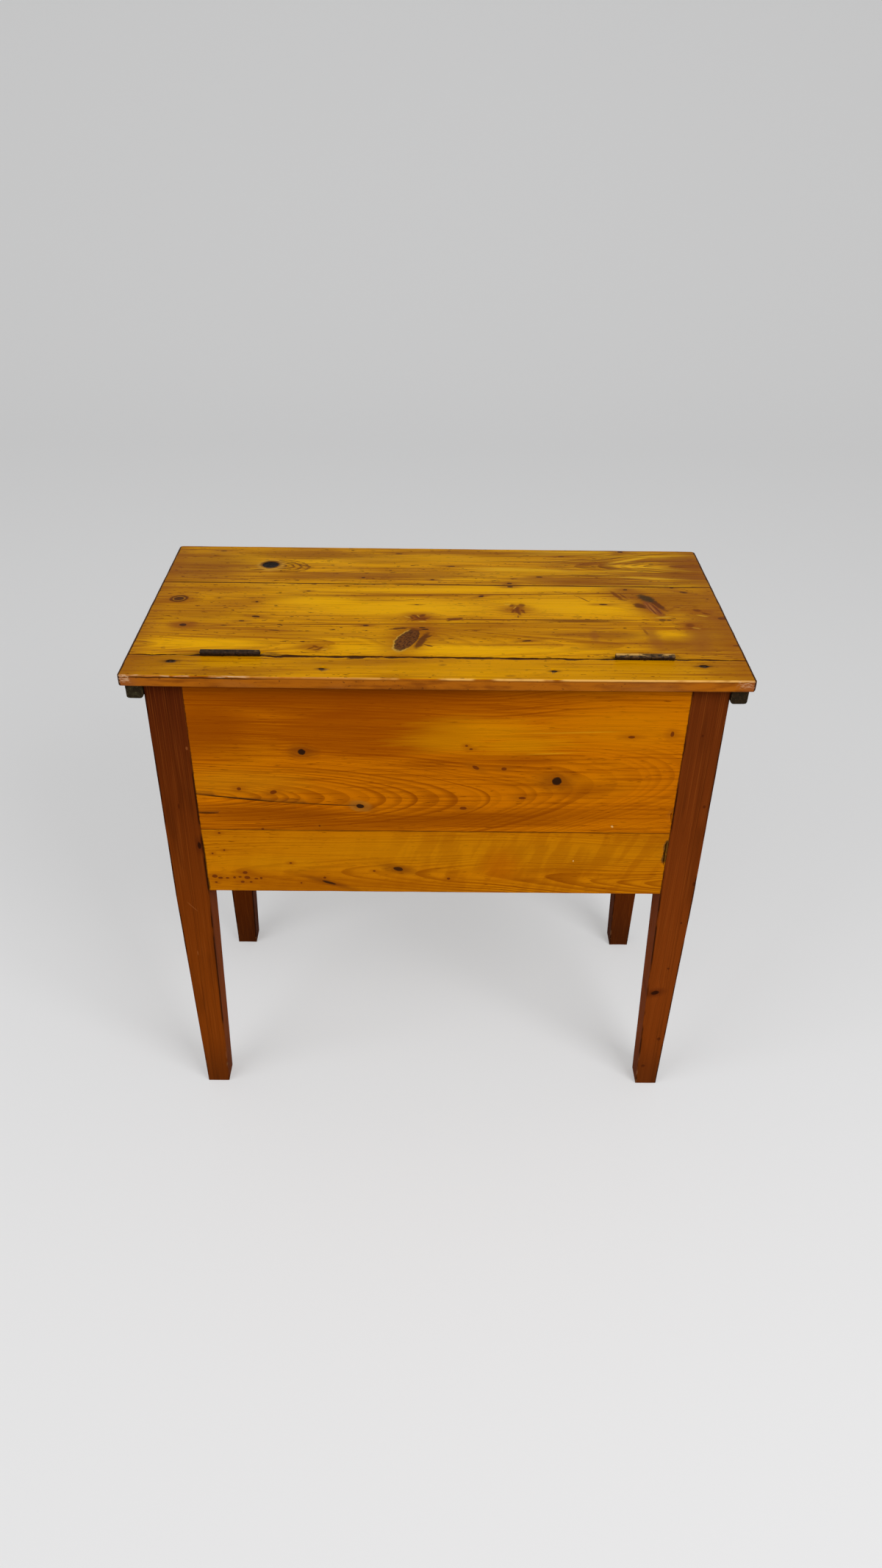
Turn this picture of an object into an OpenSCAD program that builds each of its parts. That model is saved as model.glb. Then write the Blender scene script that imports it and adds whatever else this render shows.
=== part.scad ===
// Pine dough box: a boarded case set flush between four tapered legs, under a three-board top.
// The front board of the top is a fixed rail. The two boards behind it are a lid, hinged to it.
// X runs to the right along the front, Y to the back and Z up.
// The origin is on the floor, under the middle of the top.

/* [Top] */
// Length of the top, left to right
top_w = 802; // [600:1:1100]
// Depth of the whole top, front to back
top_d = 417; // [380:1:520]
// Height of the upper surface above the floor
top_h = 772; // [600:1:900]
// Thickness of the boards of the top
board_t = 16; // [13:0.5:24]
// Front edge of the top to the middle of the hinged seam
rail_d = 55; // [45:1:80]
// Width of the wide lid board next to the hinges
wide_board_d = 226; // [160:1:240]
// Open gap of the hinged seam
seam_gap = 0.8; // [0.4:0.1:2]
// Top past the outer faces of the legs, at each end
end_overhang = 26; // [24:1:50]
// Top past the legs at the front
front_overhang = 16; // [5:1:30]
// Top past the legs at the back
back_overhang = 21; // [5:1:40]

/* [Legs] */
// Side of the square leg above its taper
leg_s = 49; // [40:1:70]
// Side of the square foot
foot_s = 34; // [26:1:38]
// How far the two outer faces lean in at the foot
foot_inset = 5; // [0:0.5:8]
// Bottom edge of the panels down to the start of the taper
taper_below = 10; // [0:1:60]

/* [Panels] */
// Thickness of the panel boards
panel_t = 19; // [15:1:24]
// Floor to the bottom edge of the panels
panel_bottom = 411; // [250:1:480]
// Width of the lower board of each panel
lower_board_w = 110; // [80:1:160]
// Thickness of the tongue on the end of a panel board
tongue_t = 9; // [6:0.5:12]
// Length of the tongue that enters the leg
tongue_l = 14; // [8:1:18]

/* [Box floor] */
// Thickness of the floor boards
floor_t = 14; // [10:1:20]
// Side of the square ledgers that carry the floor
ledger_s = 20; // [15:1:28]
// Bottom edge of the panels up to the ledgers
ledger_up = 2; // [0:0.5:10]
// Gap round the floor boards and between them
floor_play = 0.6; // [0.2:0.1:0.9]

/* [Cleats] */
// Width of the cleats under the ends of the top
cleat_w = 22; // [12:0.5:23]
// Height of the cleats
cleat_h = 25; // [18:1:40]
// Front edge and back edge of the top to the ends of the cleats
cleat_set = 12; // [4:1:25]
// Chamfer along the lower edges of the cleats
cleat_chamfer = 3.5; // [1:0.5:6]
// Sideways play of the lid cleats on the legs
cleat_play = 0.6; // [0.3:0.1:0.9]

/* [Hinges] */
// Length of a hinge
hinge_l = 76; // [50:1:100]
// End of the top to the middle of a hinge
hinge_from_end = 133.5; // [100:0.5:200]
// Outer diameter of the barrel
barrel_d = 7.8; // [7:0.1:10]
// Diameter of the pin
pin_d = 4; // [3:0.1:4.4]
// Radial clearance of the pin in the knuckles
pin_play = 0.05; // [0.02:0.01:0.08]
// Number of knuckles
knuckle_n = 5; // [3:2:7]
// Gap between two knuckles
knuckle_gap = 0.3; // [0.2:0.05:0.5]
// Thickness of a leaf
leaf_t = 1.8; // [1.4:0.1:2.2]
// Wood left under a leaf in the board's edge
leaf_edge = 1.5; // [1:0.5:3]
// Clearance between the barrel and the boards
barrel_clear = 0.1; // [0.1:0.05:0.4]

/* [Fasteners] */
// Diameter of the hinge screws' heads
hinge_screw_head = 6.4; // [5:0.1:7]
// Diameter of the hinge screws' shanks
hinge_screw_d = 3.2; // [2.5:0.1:3.8]
// Length of the hinge screws
hinge_screw_l = 19; // [12:1:25]
// Diameter of the cleat screws' heads
cleat_screw_head = 8; // [6:0.1:9]
// Diameter of the cleat screws' shanks
cleat_screw_d = 4; // [3:0.1:5]
// Width of a cut nail's shank
nail_w = 3; // [2:0.1:4]
// Thickness of a cut nail's shank
nail_t = 2.2; // [1.6:0.1:3]
// Length of a cut nail's head
nail_head_w = 5.6; // [4.5:0.1:7]
// How far the rail nails reach below the rail
rail_nail_bite = 34; // [20:1:60]
// Panel's outer face to the rail nails that enter its top edge
panel_nail_in = 5; // [4:0.5:8]
// Clearance of the nails and screws in their holes
fastener_play = 0.05; // [0.02:0.01:0.1]

/* [Knot plug] */
// Diameter of the dark plug in the back lid board
plug_d = 25; // [15:1:30]
// Left end of the top to the middle of the plug
plug_from_end = 149; // [80:1:300]
// Back edge of the top to the middle of the plug
plug_from_back = 69; // [40:1:80]
// How far the plug has sunk below the surface
plug_sink = 0.4; // [0:0.1:2]

/* [Hidden] */
$fn = 48;

// Keeps cutting shapes proud of the faces they cut
eps = 0.05;

// A nail or screw is drawn at its own size, and its hole with this set to fastener_play
$play = 0;

// Edges of the top and of the case
end_x = top_w / 2;
front_y = -top_d / 2;
back_y = top_d / 2;
under_z = top_h - board_t;
seam_y = front_y + rail_d;
rail_back_y = seam_y - seam_gap / 2;
lid_front_y = seam_y + seam_gap / 2;
glued_seam_y = lid_front_y + wide_board_d;
case_x = end_x - end_overhang;
case_front_y = front_y + front_overhang;
case_back_y = back_y - back_overhang;
case_mid_y = (case_front_y + case_back_y) / 2;

// Spans between the legs
between_x = 2 * (case_x - leg_s);
between_y = case_back_y - case_front_y - 2 * leg_s;
tongue_set = (panel_t - tongue_t) / 2;
panel_seam_z = panel_bottom + lower_board_w;
taper_z = panel_bottom - taper_below;

// Levels and edges inside the box
floor_n = 3;
ledger_z = panel_bottom + ledger_up;
floor_z = ledger_z + ledger_s;
inner_x = case_x - panel_t;
inner_front_y = case_front_y + panel_t;
inner_back_y = case_back_y - panel_t;
floor_pitch = (inner_back_y - inner_front_y) / floor_n;
long_ledger_l = between_x - 2 * floor_play;
end_ledger_l = between_y - 2 * floor_play;

// Hinge axis, just high enough for the barrel to clear the boards
hinge_r = barrel_d / 2;
hinge_z = top_h + hinge_r + barrel_clear;
hinge_x = end_x - hinge_from_end;
pin_r = pin_d / 2;
knuckle_pitch = hinge_l / knuckle_n;
leaf_bottom_z = under_z + leaf_edge;
leaf_screw_z = (leaf_bottom_z + top_h) / 2;
leaf_screw_x = [-0.36 * hinge_l, 0, 0.36 * hinge_l];
head_cone = 0.5;

// Nails and cleat screws
nail_head_t = 1.2;
nail_cover = 4;
nail_stagger = 24;
panel_nail_cover = 8;
end_nail_y = [for (i = [-2.5:1:2.5]) case_mid_y + i * end_ledger_l / 6];
long_nail_x = [for (i = [-2:1:2]) i * long_ledger_l / 4.5];
cleat_x = case_x + cleat_w / 2;
lid_cleat_x = cleat_x + cleat_play;
cleat_end_gap = 1;
cleat_back_y = back_y - cleat_set;
cleat_front_y = front_y + cleat_set;
lid_cleat_y = [
    lid_front_y + 0.15 * wide_board_d,
    lid_front_y + 0.8 * wide_board_d,
    glued_seam_y + 0.25 * (cleat_back_y - glued_seam_y),
    glued_seam_y + 0.8 * (cleat_back_y - glued_seam_y)
];
rail_cleat_y = [for (f = [0.3, 0.72]) cleat_front_y + f * (rail_back_y - cleat_front_y)];
cleat_screw_l = cleat_h + board_t - nail_cover;
rail_nail_x = case_x - leg_s * 0.7;
rail_nail_y = case_front_y + leg_s * 0.45;
mid_nail_x = between_x * 0.226;
rail_nail_l = board_t + rail_nail_bite;

// Colours of the timbers and metals
pine_gold = [0.78, 0.52, 0.13];
pine_orange = [0.76, 0.42, 0.08];
pine_inside = [0.80, 0.62, 0.38];
leg_red = [0.42, 0.18, 0.07];
cleat_dark = [0.13, 0.11, 0.08];
iron_dark = [0.20, 0.17, 0.15];
steel_worn = [0.48, 0.46, 0.43];

// Place a child at one end of the box, and a mirror image of it at the other
module at_side(side) {
    mirror([side > 0 ? 1 : 0, 0, 0]) children();
}

// A countersunk wood screw pointing up, with the top of its head at the origin
module screw_body(head_d, shank_d, length) {
    cone = (head_d - shank_d) * head_cone;
    rotate_extrude()
        polygon([
            [0, -$play], [head_d / 2 + 2 * $play, -$play], [shank_d / 2 + $play, cone],
            [shank_d / 2 + $play, length - shank_d / 2], [0, length + $play]
        ]);
}

module slotted_screw(head_d, shank_d, length) {
    difference() {
        screw_body(head_d, shank_d, length);
        translate([-head_d, -0.12 * head_d / 2, -eps])
            cube([2 * head_d, 0.12 * head_d, 0.14 * head_d + eps]);
    }
}

// A cut nail pointing down, with the top of its head at the origin and its wide side along X
module cut_nail(length) {
    grown = 2 * $play;
    translate([-nail_head_w / 2 - $play, -nail_t / 2 - $play, -nail_head_t - $play])
        cube([nail_head_w + grown, nail_t + grown, nail_head_t + grown]);
    translate([-nail_w / 2 - $play, -nail_t / 2 - $play, -length - $play])
        cube([nail_w + grown, nail_t + grown, length - nail_head_t + grown]);
}

// A leg with its outer corner on the local Z axis, growing inwards along +X and +Y
module leg_side() {
    rotate([90, 0, 0])
        translate([0, 0, -leg_s])
            linear_extrude(leg_s)
                polygon([
                    [0, under_z], [0, taper_z], [foot_inset, 0],
                    [foot_inset + foot_s, 0], [leg_s, taper_z], [leg_s, under_z]
                ]);
}

module leg() {
    groove_h = under_z - panel_bottom + eps;
    color(leg_red)
        difference() {
            intersection() {
                leg_side();
                mirror([1, -1, 0]) leg_side();
            }
            translate([leg_s - tongue_l, tongue_set, panel_bottom])
                cube([tongue_l + eps, tongue_t, groove_h]);
            translate([tongue_set, leg_s - tongue_l, panel_bottom])
                cube([tongue_t, tongue_l + eps, groove_h]);
        }
}

module leg_at(side, back) {
    at_side(side)
        translate([-case_x, back ? case_back_y : case_front_y, 0])
            mirror([0, back ? 1 : 0, 0])
                difference() {
                    leg();
                    if (!back)
                        translate([case_x - rail_nail_x, rail_nail_y - case_front_y, top_h])
                            cut_nail(rail_nail_l, $play = fastener_play);
                }
}

// A panel board along X with its outer face on the XZ plane and a tongue on each end
module panel_board(span, low_z, high_z) {
    translate([-span / 2, 0, low_z])
        cube([span, panel_t, high_z - low_z]);
    for (s = [0, 1])
        mirror([s, 0, 0])
            translate([span / 2, tongue_set, low_z])
                cube([tongue_l, tongue_t, high_z - low_z]);
}

module long_panel(back, low_z, high_z) {
    color(pine_orange)
        difference() {
            translate([0, back ? case_back_y : case_front_y, 0])
                mirror([0, back ? 1 : 0, 0])
                    panel_board(between_x, low_z, high_z);
            mid_rail_nails($play = fastener_play);
            long_ledger_nails(back, $play = fastener_play);
        }
}

module end_panel(side, low_z, high_z) {
    color(pine_orange)
        at_side(side)
            difference() {
                translate([-case_x, case_mid_y, 0])
                    rotate([0, 0, -90])
                        panel_board(between_y, low_z, high_z);
                end_ledger_nails($play = fastener_play);
            }
}

// Square ledgers nailed inside the panels, under the floor boards
module long_ledger(back) {
    color(pine_inside)
        difference() {
            translate([-long_ledger_l / 2, back ? inner_back_y - ledger_s : inner_front_y, ledger_z])
                cube([long_ledger_l, ledger_s, ledger_s]);
            long_ledger_nails(back, $play = fastener_play);
            board_nails($play = fastener_play);
        }
}

module end_ledger(side) {
    color(pine_inside)
        difference() {
            at_side(side)
                translate([-inner_x, case_mid_y - end_ledger_l / 2, ledger_z])
                    cube([ledger_s, end_ledger_l, ledger_s]);
            at_side(side) end_ledger_nails($play = fastener_play);
            board_nails($play = fastener_play);
        }
}

// Nails driven outwards through a ledger into the panel, a third of the way up it
module long_ledger_nails(back) {
    face_y = back ? inner_back_y - ledger_s : inner_front_y + ledger_s;
    for (x = long_nail_x)
        translate([x + nail_stagger, face_y, ledger_z + ledger_s / 3])
            rotate([back ? 90 : -90, 0, 0])
                cut_nail(ledger_s + panel_t - panel_nail_cover);
}

module end_ledger_nails() {
    for (y = end_nail_y)
        translate([-inner_x + ledger_s, y + nail_stagger / 2, ledger_z + ledger_s / 3])
            rotate([0, 90, 0])
                rotate([0, 0, 90])
                    cut_nail(ledger_s + panel_t - panel_nail_cover);
}

module ledger_nails() {
    color(iron_dark) {
        long_ledger_nails(false);
        long_ledger_nails(true);
        for (side = [-1, 1])
            at_side(side) end_ledger_nails();
    }
}

// Floor boards with their corners cut round the legs
module floor_board(index) {
    low_y = inner_front_y + index * floor_pitch + floor_play / 2;
    color(pine_inside)
        difference() {
            translate([-inner_x + floor_play, low_y, floor_z])
                cube([2 * (inner_x - floor_play), floor_pitch - floor_play, floor_t]);
            for (side = [-1, 1], back = [false, true])
                at_side(side)
                    translate([
                        -case_x,
                        back ? case_back_y - leg_s - floor_play : case_front_y,
                        floor_z - eps
                    ])
                        cube([leg_s + floor_play, leg_s + floor_play, floor_t + 2 * eps]);
            board_nails($play = fastener_play);
        }
}

// Nails down through the floor boards into the ledgers
module board_nails() {
    length = floor_t + ledger_s - nail_cover;
    for (x = long_nail_x, y = [inner_front_y + ledger_s / 2, inner_back_y - ledger_s / 2])
        translate([x, y, floor_z + floor_t]) cut_nail(length);
    for (side = [-1, 1], y = end_nail_y)
        at_side(side)
            translate([-inner_x + ledger_s / 2, y, floor_z + floor_t]) cut_nail(length);
}

module floor_nails() {
    color(iron_dark) board_nails();
}

// Nails down through the rail: two into the tops of the legs and two into the front panel
module leg_rail_nails() {
    for (side = [-1, 1])
        at_side(side)
            translate([-rail_nail_x, rail_nail_y, top_h]) cut_nail(rail_nail_l);
}

module mid_rail_nails() {
    for (side = [-1, 1])
        at_side(side)
            translate([-mid_nail_x, case_front_y + panel_nail_in, top_h]) cut_nail(rail_nail_l);
}

module rail_nails() {
    color(iron_dark) {
        leg_rail_nails();
        mid_rail_nails();
    }
}

// The fixed front board of the top
module fixed_rail() {
    color(pine_gold)
        difference() {
            translate([-end_x, front_y, under_z])
                cube([top_w, rail_back_y - front_y, board_t]);
            leg_rail_nails($play = fastener_play);
            mid_rail_nails($play = fastener_play);
            cleat_nail_rows($play = fastener_play);
            for (side = [-1, 1])
                at_side(side) {
                    leaf_flat(false, top_h + eps);
                    leaf_screw_bores(false);
                }
        }
}

// A cleat along Y: a square bar with its two lower edges chamfered
module cleat_bar(mid_x, low_y, high_y) {
    c = cleat_chamfer;
    w = cleat_w / 2;
    color(cleat_dark)
        translate([-mid_x, high_y, under_z])
            rotate([90, 0, 0])
                linear_extrude(high_y - low_y)
                    polygon([
                        [-w, 0], [-w, c - cleat_h], [c - w, -cleat_h],
                        [w - c, -cleat_h], [w, c - cleat_h], [w, 0]
                    ]);
}

module rail_cleat(side) {
    difference() {
        at_side(side) cleat_bar(cleat_x, cleat_front_y, rail_back_y - cleat_end_gap / 2);
        cleat_nail_rows($play = fastener_play);
    }
}

module lid_cleat(side) {
    difference() {
        at_side(side) cleat_bar(lid_cleat_x, lid_front_y + cleat_end_gap / 2, cleat_back_y);
        cleat_screw_rows(false, $play = fastener_play);
    }
}

// Nails up through the short cleats into the rail
module cleat_nail_rows() {
    for (side = [-1, 1], y = rail_cleat_y)
        at_side(side)
            translate([-cleat_x, y, under_z - cleat_h])
                rotate([180, 0, 0])
                    cut_nail(cleat_h + board_t - nail_cover);
}

module rail_cleat_nails() {
    color(iron_dark) cleat_nail_rows();
}

// Screws up through the lid cleats into the lid boards
module cleat_screw_rows(slotted) {
    for (side = [-1, 1], y = lid_cleat_y)
        at_side(side)
            translate([-lid_cleat_x, y, under_z - cleat_h])
                if (slotted)
                    slotted_screw(cleat_screw_head, cleat_screw_d, cleat_screw_l);
                else
                    screw_body(cleat_screw_head, cleat_screw_d, cleat_screw_l);
}

module lid_cleat_screws() {
    color(steel_worn) cleat_screw_rows(true);
}

// The two boards of the lid, glued edge to edge
module lid_board_wide() {
    color(pine_gold)
        difference() {
            translate([-end_x, lid_front_y, under_z])
                cube([top_w, wide_board_d, board_t]);
            cleat_screw_rows(false, $play = fastener_play);
            for (side = [-1, 1])
                at_side(side) {
                    leaf_flat(true, top_h + eps);
                    leaf_screw_bores(true);
                }
        }
}

module lid_board_back() {
    color(pine_gold)
        difference() {
            translate([-end_x, glued_seam_y, under_z])
                cube([top_w, back_y - glued_seam_y, board_t]);
            cleat_screw_rows(false, $play = fastener_play);
            translate([plug_from_end - end_x, back_y - plug_from_back, under_z - eps])
                cylinder(d = plug_d, h = board_t + 2 * eps);
        }
}

module knot_plug() {
    color(cleat_dark)
        translate([plug_from_end - end_x, back_y - plug_from_back, under_z])
            cylinder(d = plug_d, h = board_t - plug_sink);
}

// The flat of a hinge leaf up to a height, let into the edge of the rail or of the lid
module leaf_flat(moving, high_z) {
    y = moving ? lid_front_y : rail_back_y - leaf_t;
    translate([-hinge_x - hinge_l / 2, y, leaf_bottom_z])
        cube([hinge_l, leaf_t, high_z - leaf_bottom_z]);
}

module leaf_screw_bores(moving) {
    for (x = leaf_screw_x)
        translate([-hinge_x + x, moving ? lid_front_y : rail_back_y, leaf_screw_z])
            rotate([moving ? -90 : 90, 0, 0])
                screw_body(hinge_screw_head, hinge_screw_d, hinge_screw_l, $play = fastener_play);
}

// A hinge leaf: its flat, and every second knuckle rising from it round the pin
module hinge_leaf(side, moving) {
    color(iron_dark)
        at_side(side)
            difference() {
                union() {
                    leaf_flat(moving, top_h - barrel_clear);
                    for (k = [(moving ? 1 : 0):2:knuckle_n - 1])
                        knuckle(k, moving);
                }
                translate([-hinge_x - hinge_l / 2 - eps, seam_y, hinge_z])
                    rotate([0, 90, 0])
                        cylinder(r = pin_r + pin_play, h = hinge_l + 2 * eps);
                leaf_screw_bores(moving);
            }
}

module knuckle(k, moving) {
    low_x = -hinge_x - hinge_l / 2 + k * knuckle_pitch + (k > 0 ? knuckle_gap / 2 : 0);
    trims = (k > 0 ? 0.5 : 0) + (k < knuckle_n - 1 ? 0.5 : 0);
    length = knuckle_pitch - trims * knuckle_gap;
    y = moving ? lid_front_y : rail_back_y - leaf_t;
    translate([low_x, seam_y, hinge_z])
        rotate([0, 90, 0])
            cylinder(r = hinge_r, h = length);
    translate([low_x, y, top_h - 2 * barrel_clear])
        cube([length, leaf_t, hinge_z - top_h]);
}

// The hinge pin, its two ends rounded over past the barrel
module hinge_pin(side) {
    past = 1;
    half = hinge_l / 2 + past;
    color(iron_dark)
        at_side(side)
            translate([-hinge_x, seam_y, hinge_z])
                rotate([0, 90, 0])
                    rotate_extrude()
                        polygon([
                            [0, -half], [pin_r - past / 2, -half], [pin_r, past / 2 - half],
                            [pin_r, half - past / 2], [pin_r - past / 2, half], [0, half]
                        ]);
}

module hinge_screws(moving) {
    color(steel_worn)
        for (side = [-1, 1], x = leaf_screw_x)
            at_side(side)
                translate([-hinge_x + x, moving ? lid_front_y : rail_back_y, leaf_screw_z])
                    rotate([moving ? -90 : 90, 0, 0])
                        slotted_screw(hinge_screw_head, hinge_screw_d, hinge_screw_l);
}

leg_at(-1, false);  // leg_front_left
leg_at(1, false);  // leg_front_right
leg_at(-1, true);  // leg_back_left
leg_at(1, true);  // leg_back_right
long_panel(false, panel_seam_z, under_z);  // front_panel_upper
long_panel(false, panel_bottom, panel_seam_z);  // front_panel_lower
long_panel(true, panel_seam_z, under_z);  // back_panel_upper
long_panel(true, panel_bottom, panel_seam_z);  // back_panel_lower
end_panel(-1, panel_seam_z, under_z);  // left_end_upper
end_panel(-1, panel_bottom, panel_seam_z);  // left_end_lower
end_panel(1, panel_seam_z, under_z);  // right_end_upper
end_panel(1, panel_bottom, panel_seam_z);  // right_end_lower
long_ledger(false);  // floor_ledger_front
long_ledger(true);  // floor_ledger_back
end_ledger(-1);  // floor_ledger_left
end_ledger(1);  // floor_ledger_right
floor_board(0);  // floor_board_front
floor_board(1);  // floor_board_middle
floor_board(2);  // floor_board_back
ledger_nails();
floor_nails();
fixed_rail();
rail_nails();
rail_cleat(-1);  // rail_cleat_left
rail_cleat(1);  // rail_cleat_right
rail_cleat_nails();
lid_board_wide();
lid_board_back();
knot_plug();
lid_cleat(-1);  // lid_cleat_left
lid_cleat(1);  // lid_cleat_right
lid_cleat_screws();
hinge_leaf(-1, false);  // hinge_fixed_leaf_left
hinge_leaf(1, false);  // hinge_fixed_leaf_right
hinge_leaf(-1, true);  // hinge_moving_leaf_left
hinge_leaf(1, true);  // hinge_moving_leaf_right
hinge_pin(-1);  // hinge_pin_left
hinge_pin(1);  // hinge_pin_right
hinge_screws(false);  // hinge_screws_fixed
hinge_screws(true);  // hinge_screws_moving
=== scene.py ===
import math

import bmesh
import bpy
from mathutils import Matrix, Vector, noise


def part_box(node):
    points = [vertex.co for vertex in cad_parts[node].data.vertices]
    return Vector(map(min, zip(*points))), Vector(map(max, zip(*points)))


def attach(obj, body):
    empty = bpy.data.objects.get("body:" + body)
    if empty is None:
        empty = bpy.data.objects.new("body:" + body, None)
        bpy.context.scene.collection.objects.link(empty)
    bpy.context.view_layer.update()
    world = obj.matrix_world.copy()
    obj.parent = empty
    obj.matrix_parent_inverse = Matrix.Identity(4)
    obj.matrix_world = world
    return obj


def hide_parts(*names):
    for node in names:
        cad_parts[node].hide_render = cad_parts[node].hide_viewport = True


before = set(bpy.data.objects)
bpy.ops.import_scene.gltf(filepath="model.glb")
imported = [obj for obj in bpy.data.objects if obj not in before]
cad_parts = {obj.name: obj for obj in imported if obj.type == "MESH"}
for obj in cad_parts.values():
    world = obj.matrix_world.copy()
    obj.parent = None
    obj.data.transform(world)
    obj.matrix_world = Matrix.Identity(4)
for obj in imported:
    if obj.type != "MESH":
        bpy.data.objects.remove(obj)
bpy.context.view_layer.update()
MM = 0.001

# Camera
# It stands where the photograph was taken from, at head height in front of the hinged side.
# The lens is given for a 36 mm sensor along the photograph's long side.
photo_long_side = 2133
focal_pixels = 1507.64
camera_place = Vector((-7.8, -1426.9, 1442.7)) * MM
camera_turn = math.radians(-0.644)
camera_dip = math.radians(34.29)
camera_roll = math.radians(0.893)


def put(name, data):
    """A new object at the origin of the scene."""
    thing = bpy.data.objects.new(name, data)
    bpy.context.scene.collection.objects.link(thing)
    return thing


camera = put("camera", bpy.data.cameras.new("camera"))
bpy.context.scene.camera = camera
camera.data.sensor_width = 36
camera.data.lens = focal_pixels / photo_long_side * camera.data.sensor_width
camera.matrix_world = (
    Matrix.Translation(camera_place)
    @ Matrix.Rotation(camera_turn, 4, "Z")
    @ Matrix.Rotation(-camera_dip, 4, "X")
    @ Matrix.Rotation(-camera_roll, 4, "Y")
    @ Matrix.Rotation(math.pi / 2, 4, "X")
)

# Floor, backdrop and light
# A plain pale floor that sweeps up into a backdrop behind the box, under soft studio light.
# The camera and glossy rays see floor and backdrop a little paler than they are lit.
bpy.context.scene.view_settings.view_transform = "Standard"
surround_light = 0.42
lamps = {
    "key_softbox": ((1.5, -1.9, 2.4), (0, 0, 0.5), 1.5, 46),
    "fill_softbox": ((-1.9, -1.5, 2.2), (0, 0, 0.6), 1.8, 24),
}
floor_reach = 14
sweep_start = 3.2
sweep_radius = 2.5
sweep_parts = 12
backdrop_top = 9
paper_tone = (0.5, 0.505, 0.515, 1)
paper_seen = 0.34


def feed(tree, node, links):
    """Links outputs to a node's inputs, or sets plain values there, by name or number."""
    for slot, value in dict(links).items():
        value = getattr(value, "socket", value)
        if isinstance(value, bpy.types.NodeSocket):
            tree.links.new(value, node.inputs[slot])
        else:
            node.inputs[slot].default_value = value


def add_node(tree, kind, links=(), **settings):
    """Adds one node to a tree, with its settings and what its inputs are fed."""
    node = tree.nodes.new(kind)
    for name, value in settings.items():
        setattr(node, name, value)
    feed(tree, node, links)
    return node


sweep = [(-floor_reach, 0.0), (sweep_start, 0.0)]
for part in range(1, sweep_parts + 1):
    turn = math.pi / 2 * part / sweep_parts
    sweep.append((
        sweep_start + sweep_radius * math.sin(turn), sweep_radius * (1 - math.cos(turn)),
    ))
sweep.append((sweep_start + sweep_radius, backdrop_top))
paper_mesh = bpy.data.meshes.new("studio_floor")
paper_mesh.from_pydata(
    [(x, y, z) for y, z in sweep for x in (-floor_reach, floor_reach)], [],
    [(2 * i, 2 * i + 1, 2 * i + 3, 2 * i + 2) for i in range(len(sweep) - 1)],
)
paper_mesh.shade_smooth()
paper = bpy.data.materials.new("pale_paper")
paper.use_nodes = True
sheet_tree = paper.node_tree
ray = add_node(sheet_tree, "ShaderNodeLightPath").outputs
seen = add_node(
    sheet_tree, "ShaderNodeMath", {0: ray["Is Camera Ray"], 1: ray["Is Glossy Ray"]},
    operation="MAXIMUM",
)
paler = add_node(
    sheet_tree, "ShaderNodeMath", {0: seen.outputs[0], 1: paper_seen}, operation="MULTIPLY",
)
feed(sheet_tree, sheet_tree.nodes["Principled BSDF"], {
    "Base Color": paper_tone, "Roughness": 0.9, "Specular IOR Level": 0.1,
    "Emission Color": (1, 1, 1, 1), "Emission Strength": paler.outputs[0],
})
paper_mesh.materials.append(paper)
put("studio_floor", paper_mesh)

surround = bpy.data.worlds.new("surround")
surround.use_nodes = True
bpy.context.scene.world = surround
feed(surround.node_tree, surround.node_tree.nodes["Background"], {
    "Color": (1, 0.99, 0.97, 1), "Strength": surround_light,
})
for lamp_name, (lamp_place, lamp_aim, lamp_size, lamp_power) in lamps.items():
    lamp = bpy.data.lights.new(lamp_name, "AREA")
    lamp.shape = "SQUARE"
    lamp.size = lamp_size
    lamp.energy = lamp_power
    light = put(lamp_name, lamp)
    light.location = lamp_place
    towards = Vector(lamp_aim) - Vector(lamp_place)
    light.rotation_euler = towards.to_track_quat("-Z", "Y").to_euler()


# Legs
# Four posts of red-brown stained pine, sawn square and tapered below the case.
# Their edges are worn, most at the feet. Each has a groove in two faces for the panel tongues.
def tint(red, green, blue):
    """A colour as it looks on the finished box, 0 to 255, as the numbers that a shader wants."""
    linear = []
    for part in (red, green, blue):
        share = part / 255
        linear.append(share / 12.92 if share <= 0.04045 else ((share + 0.055) / 1.055) ** 2.4)
    return (*linear, 1)


class Grain:
    """A number that changes from place to place in a piece, as one output in its tree."""

    def __init__(self, tree, socket):
        self.tree = tree
        self.socket = socket

    def work(self, operation, *others):
        links = enumerate((self, *others))
        node = add_node(self.tree, "ShaderNodeMath", links, operation=operation)
        return Grain(self.tree, node.outputs[0])

    def __add__(self, other):
        return self.work("ADD", other)

    def __sub__(self, other):
        return self.work("SUBTRACT", other)

    def __mul__(self, other):
        return self.work("MULTIPLY", other)

    def slant(self, other):
        """Length of the long side over two short sides at a right angle, self and other."""
        sides = add_node(self.tree, "ShaderNodeCombineXYZ", {0: self, 1: other}).outputs[0]
        length = add_node(self.tree, "ShaderNodeVectorMath", {0: sides}, operation="LENGTH")
        return Grain(self.tree, length.outputs["Value"])

    def ease(self, low, high, to_low=0.0, to_high=1.0):
        """to_low at low, to_high at high, and a smooth change between them."""
        node = add_node(self.tree, "ShaderNodeMapRange", {
            "Value": self, "From Min": low, "From Max": high, "To Min": to_low, "To Max": to_high,
        }, interpolation_type="SMOOTHSTEP")
        return Grain(self.tree, node.outputs["Result"])


seed_gap = 7.31
draw_gap = 13.7
drawn_out_over = 60


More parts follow.
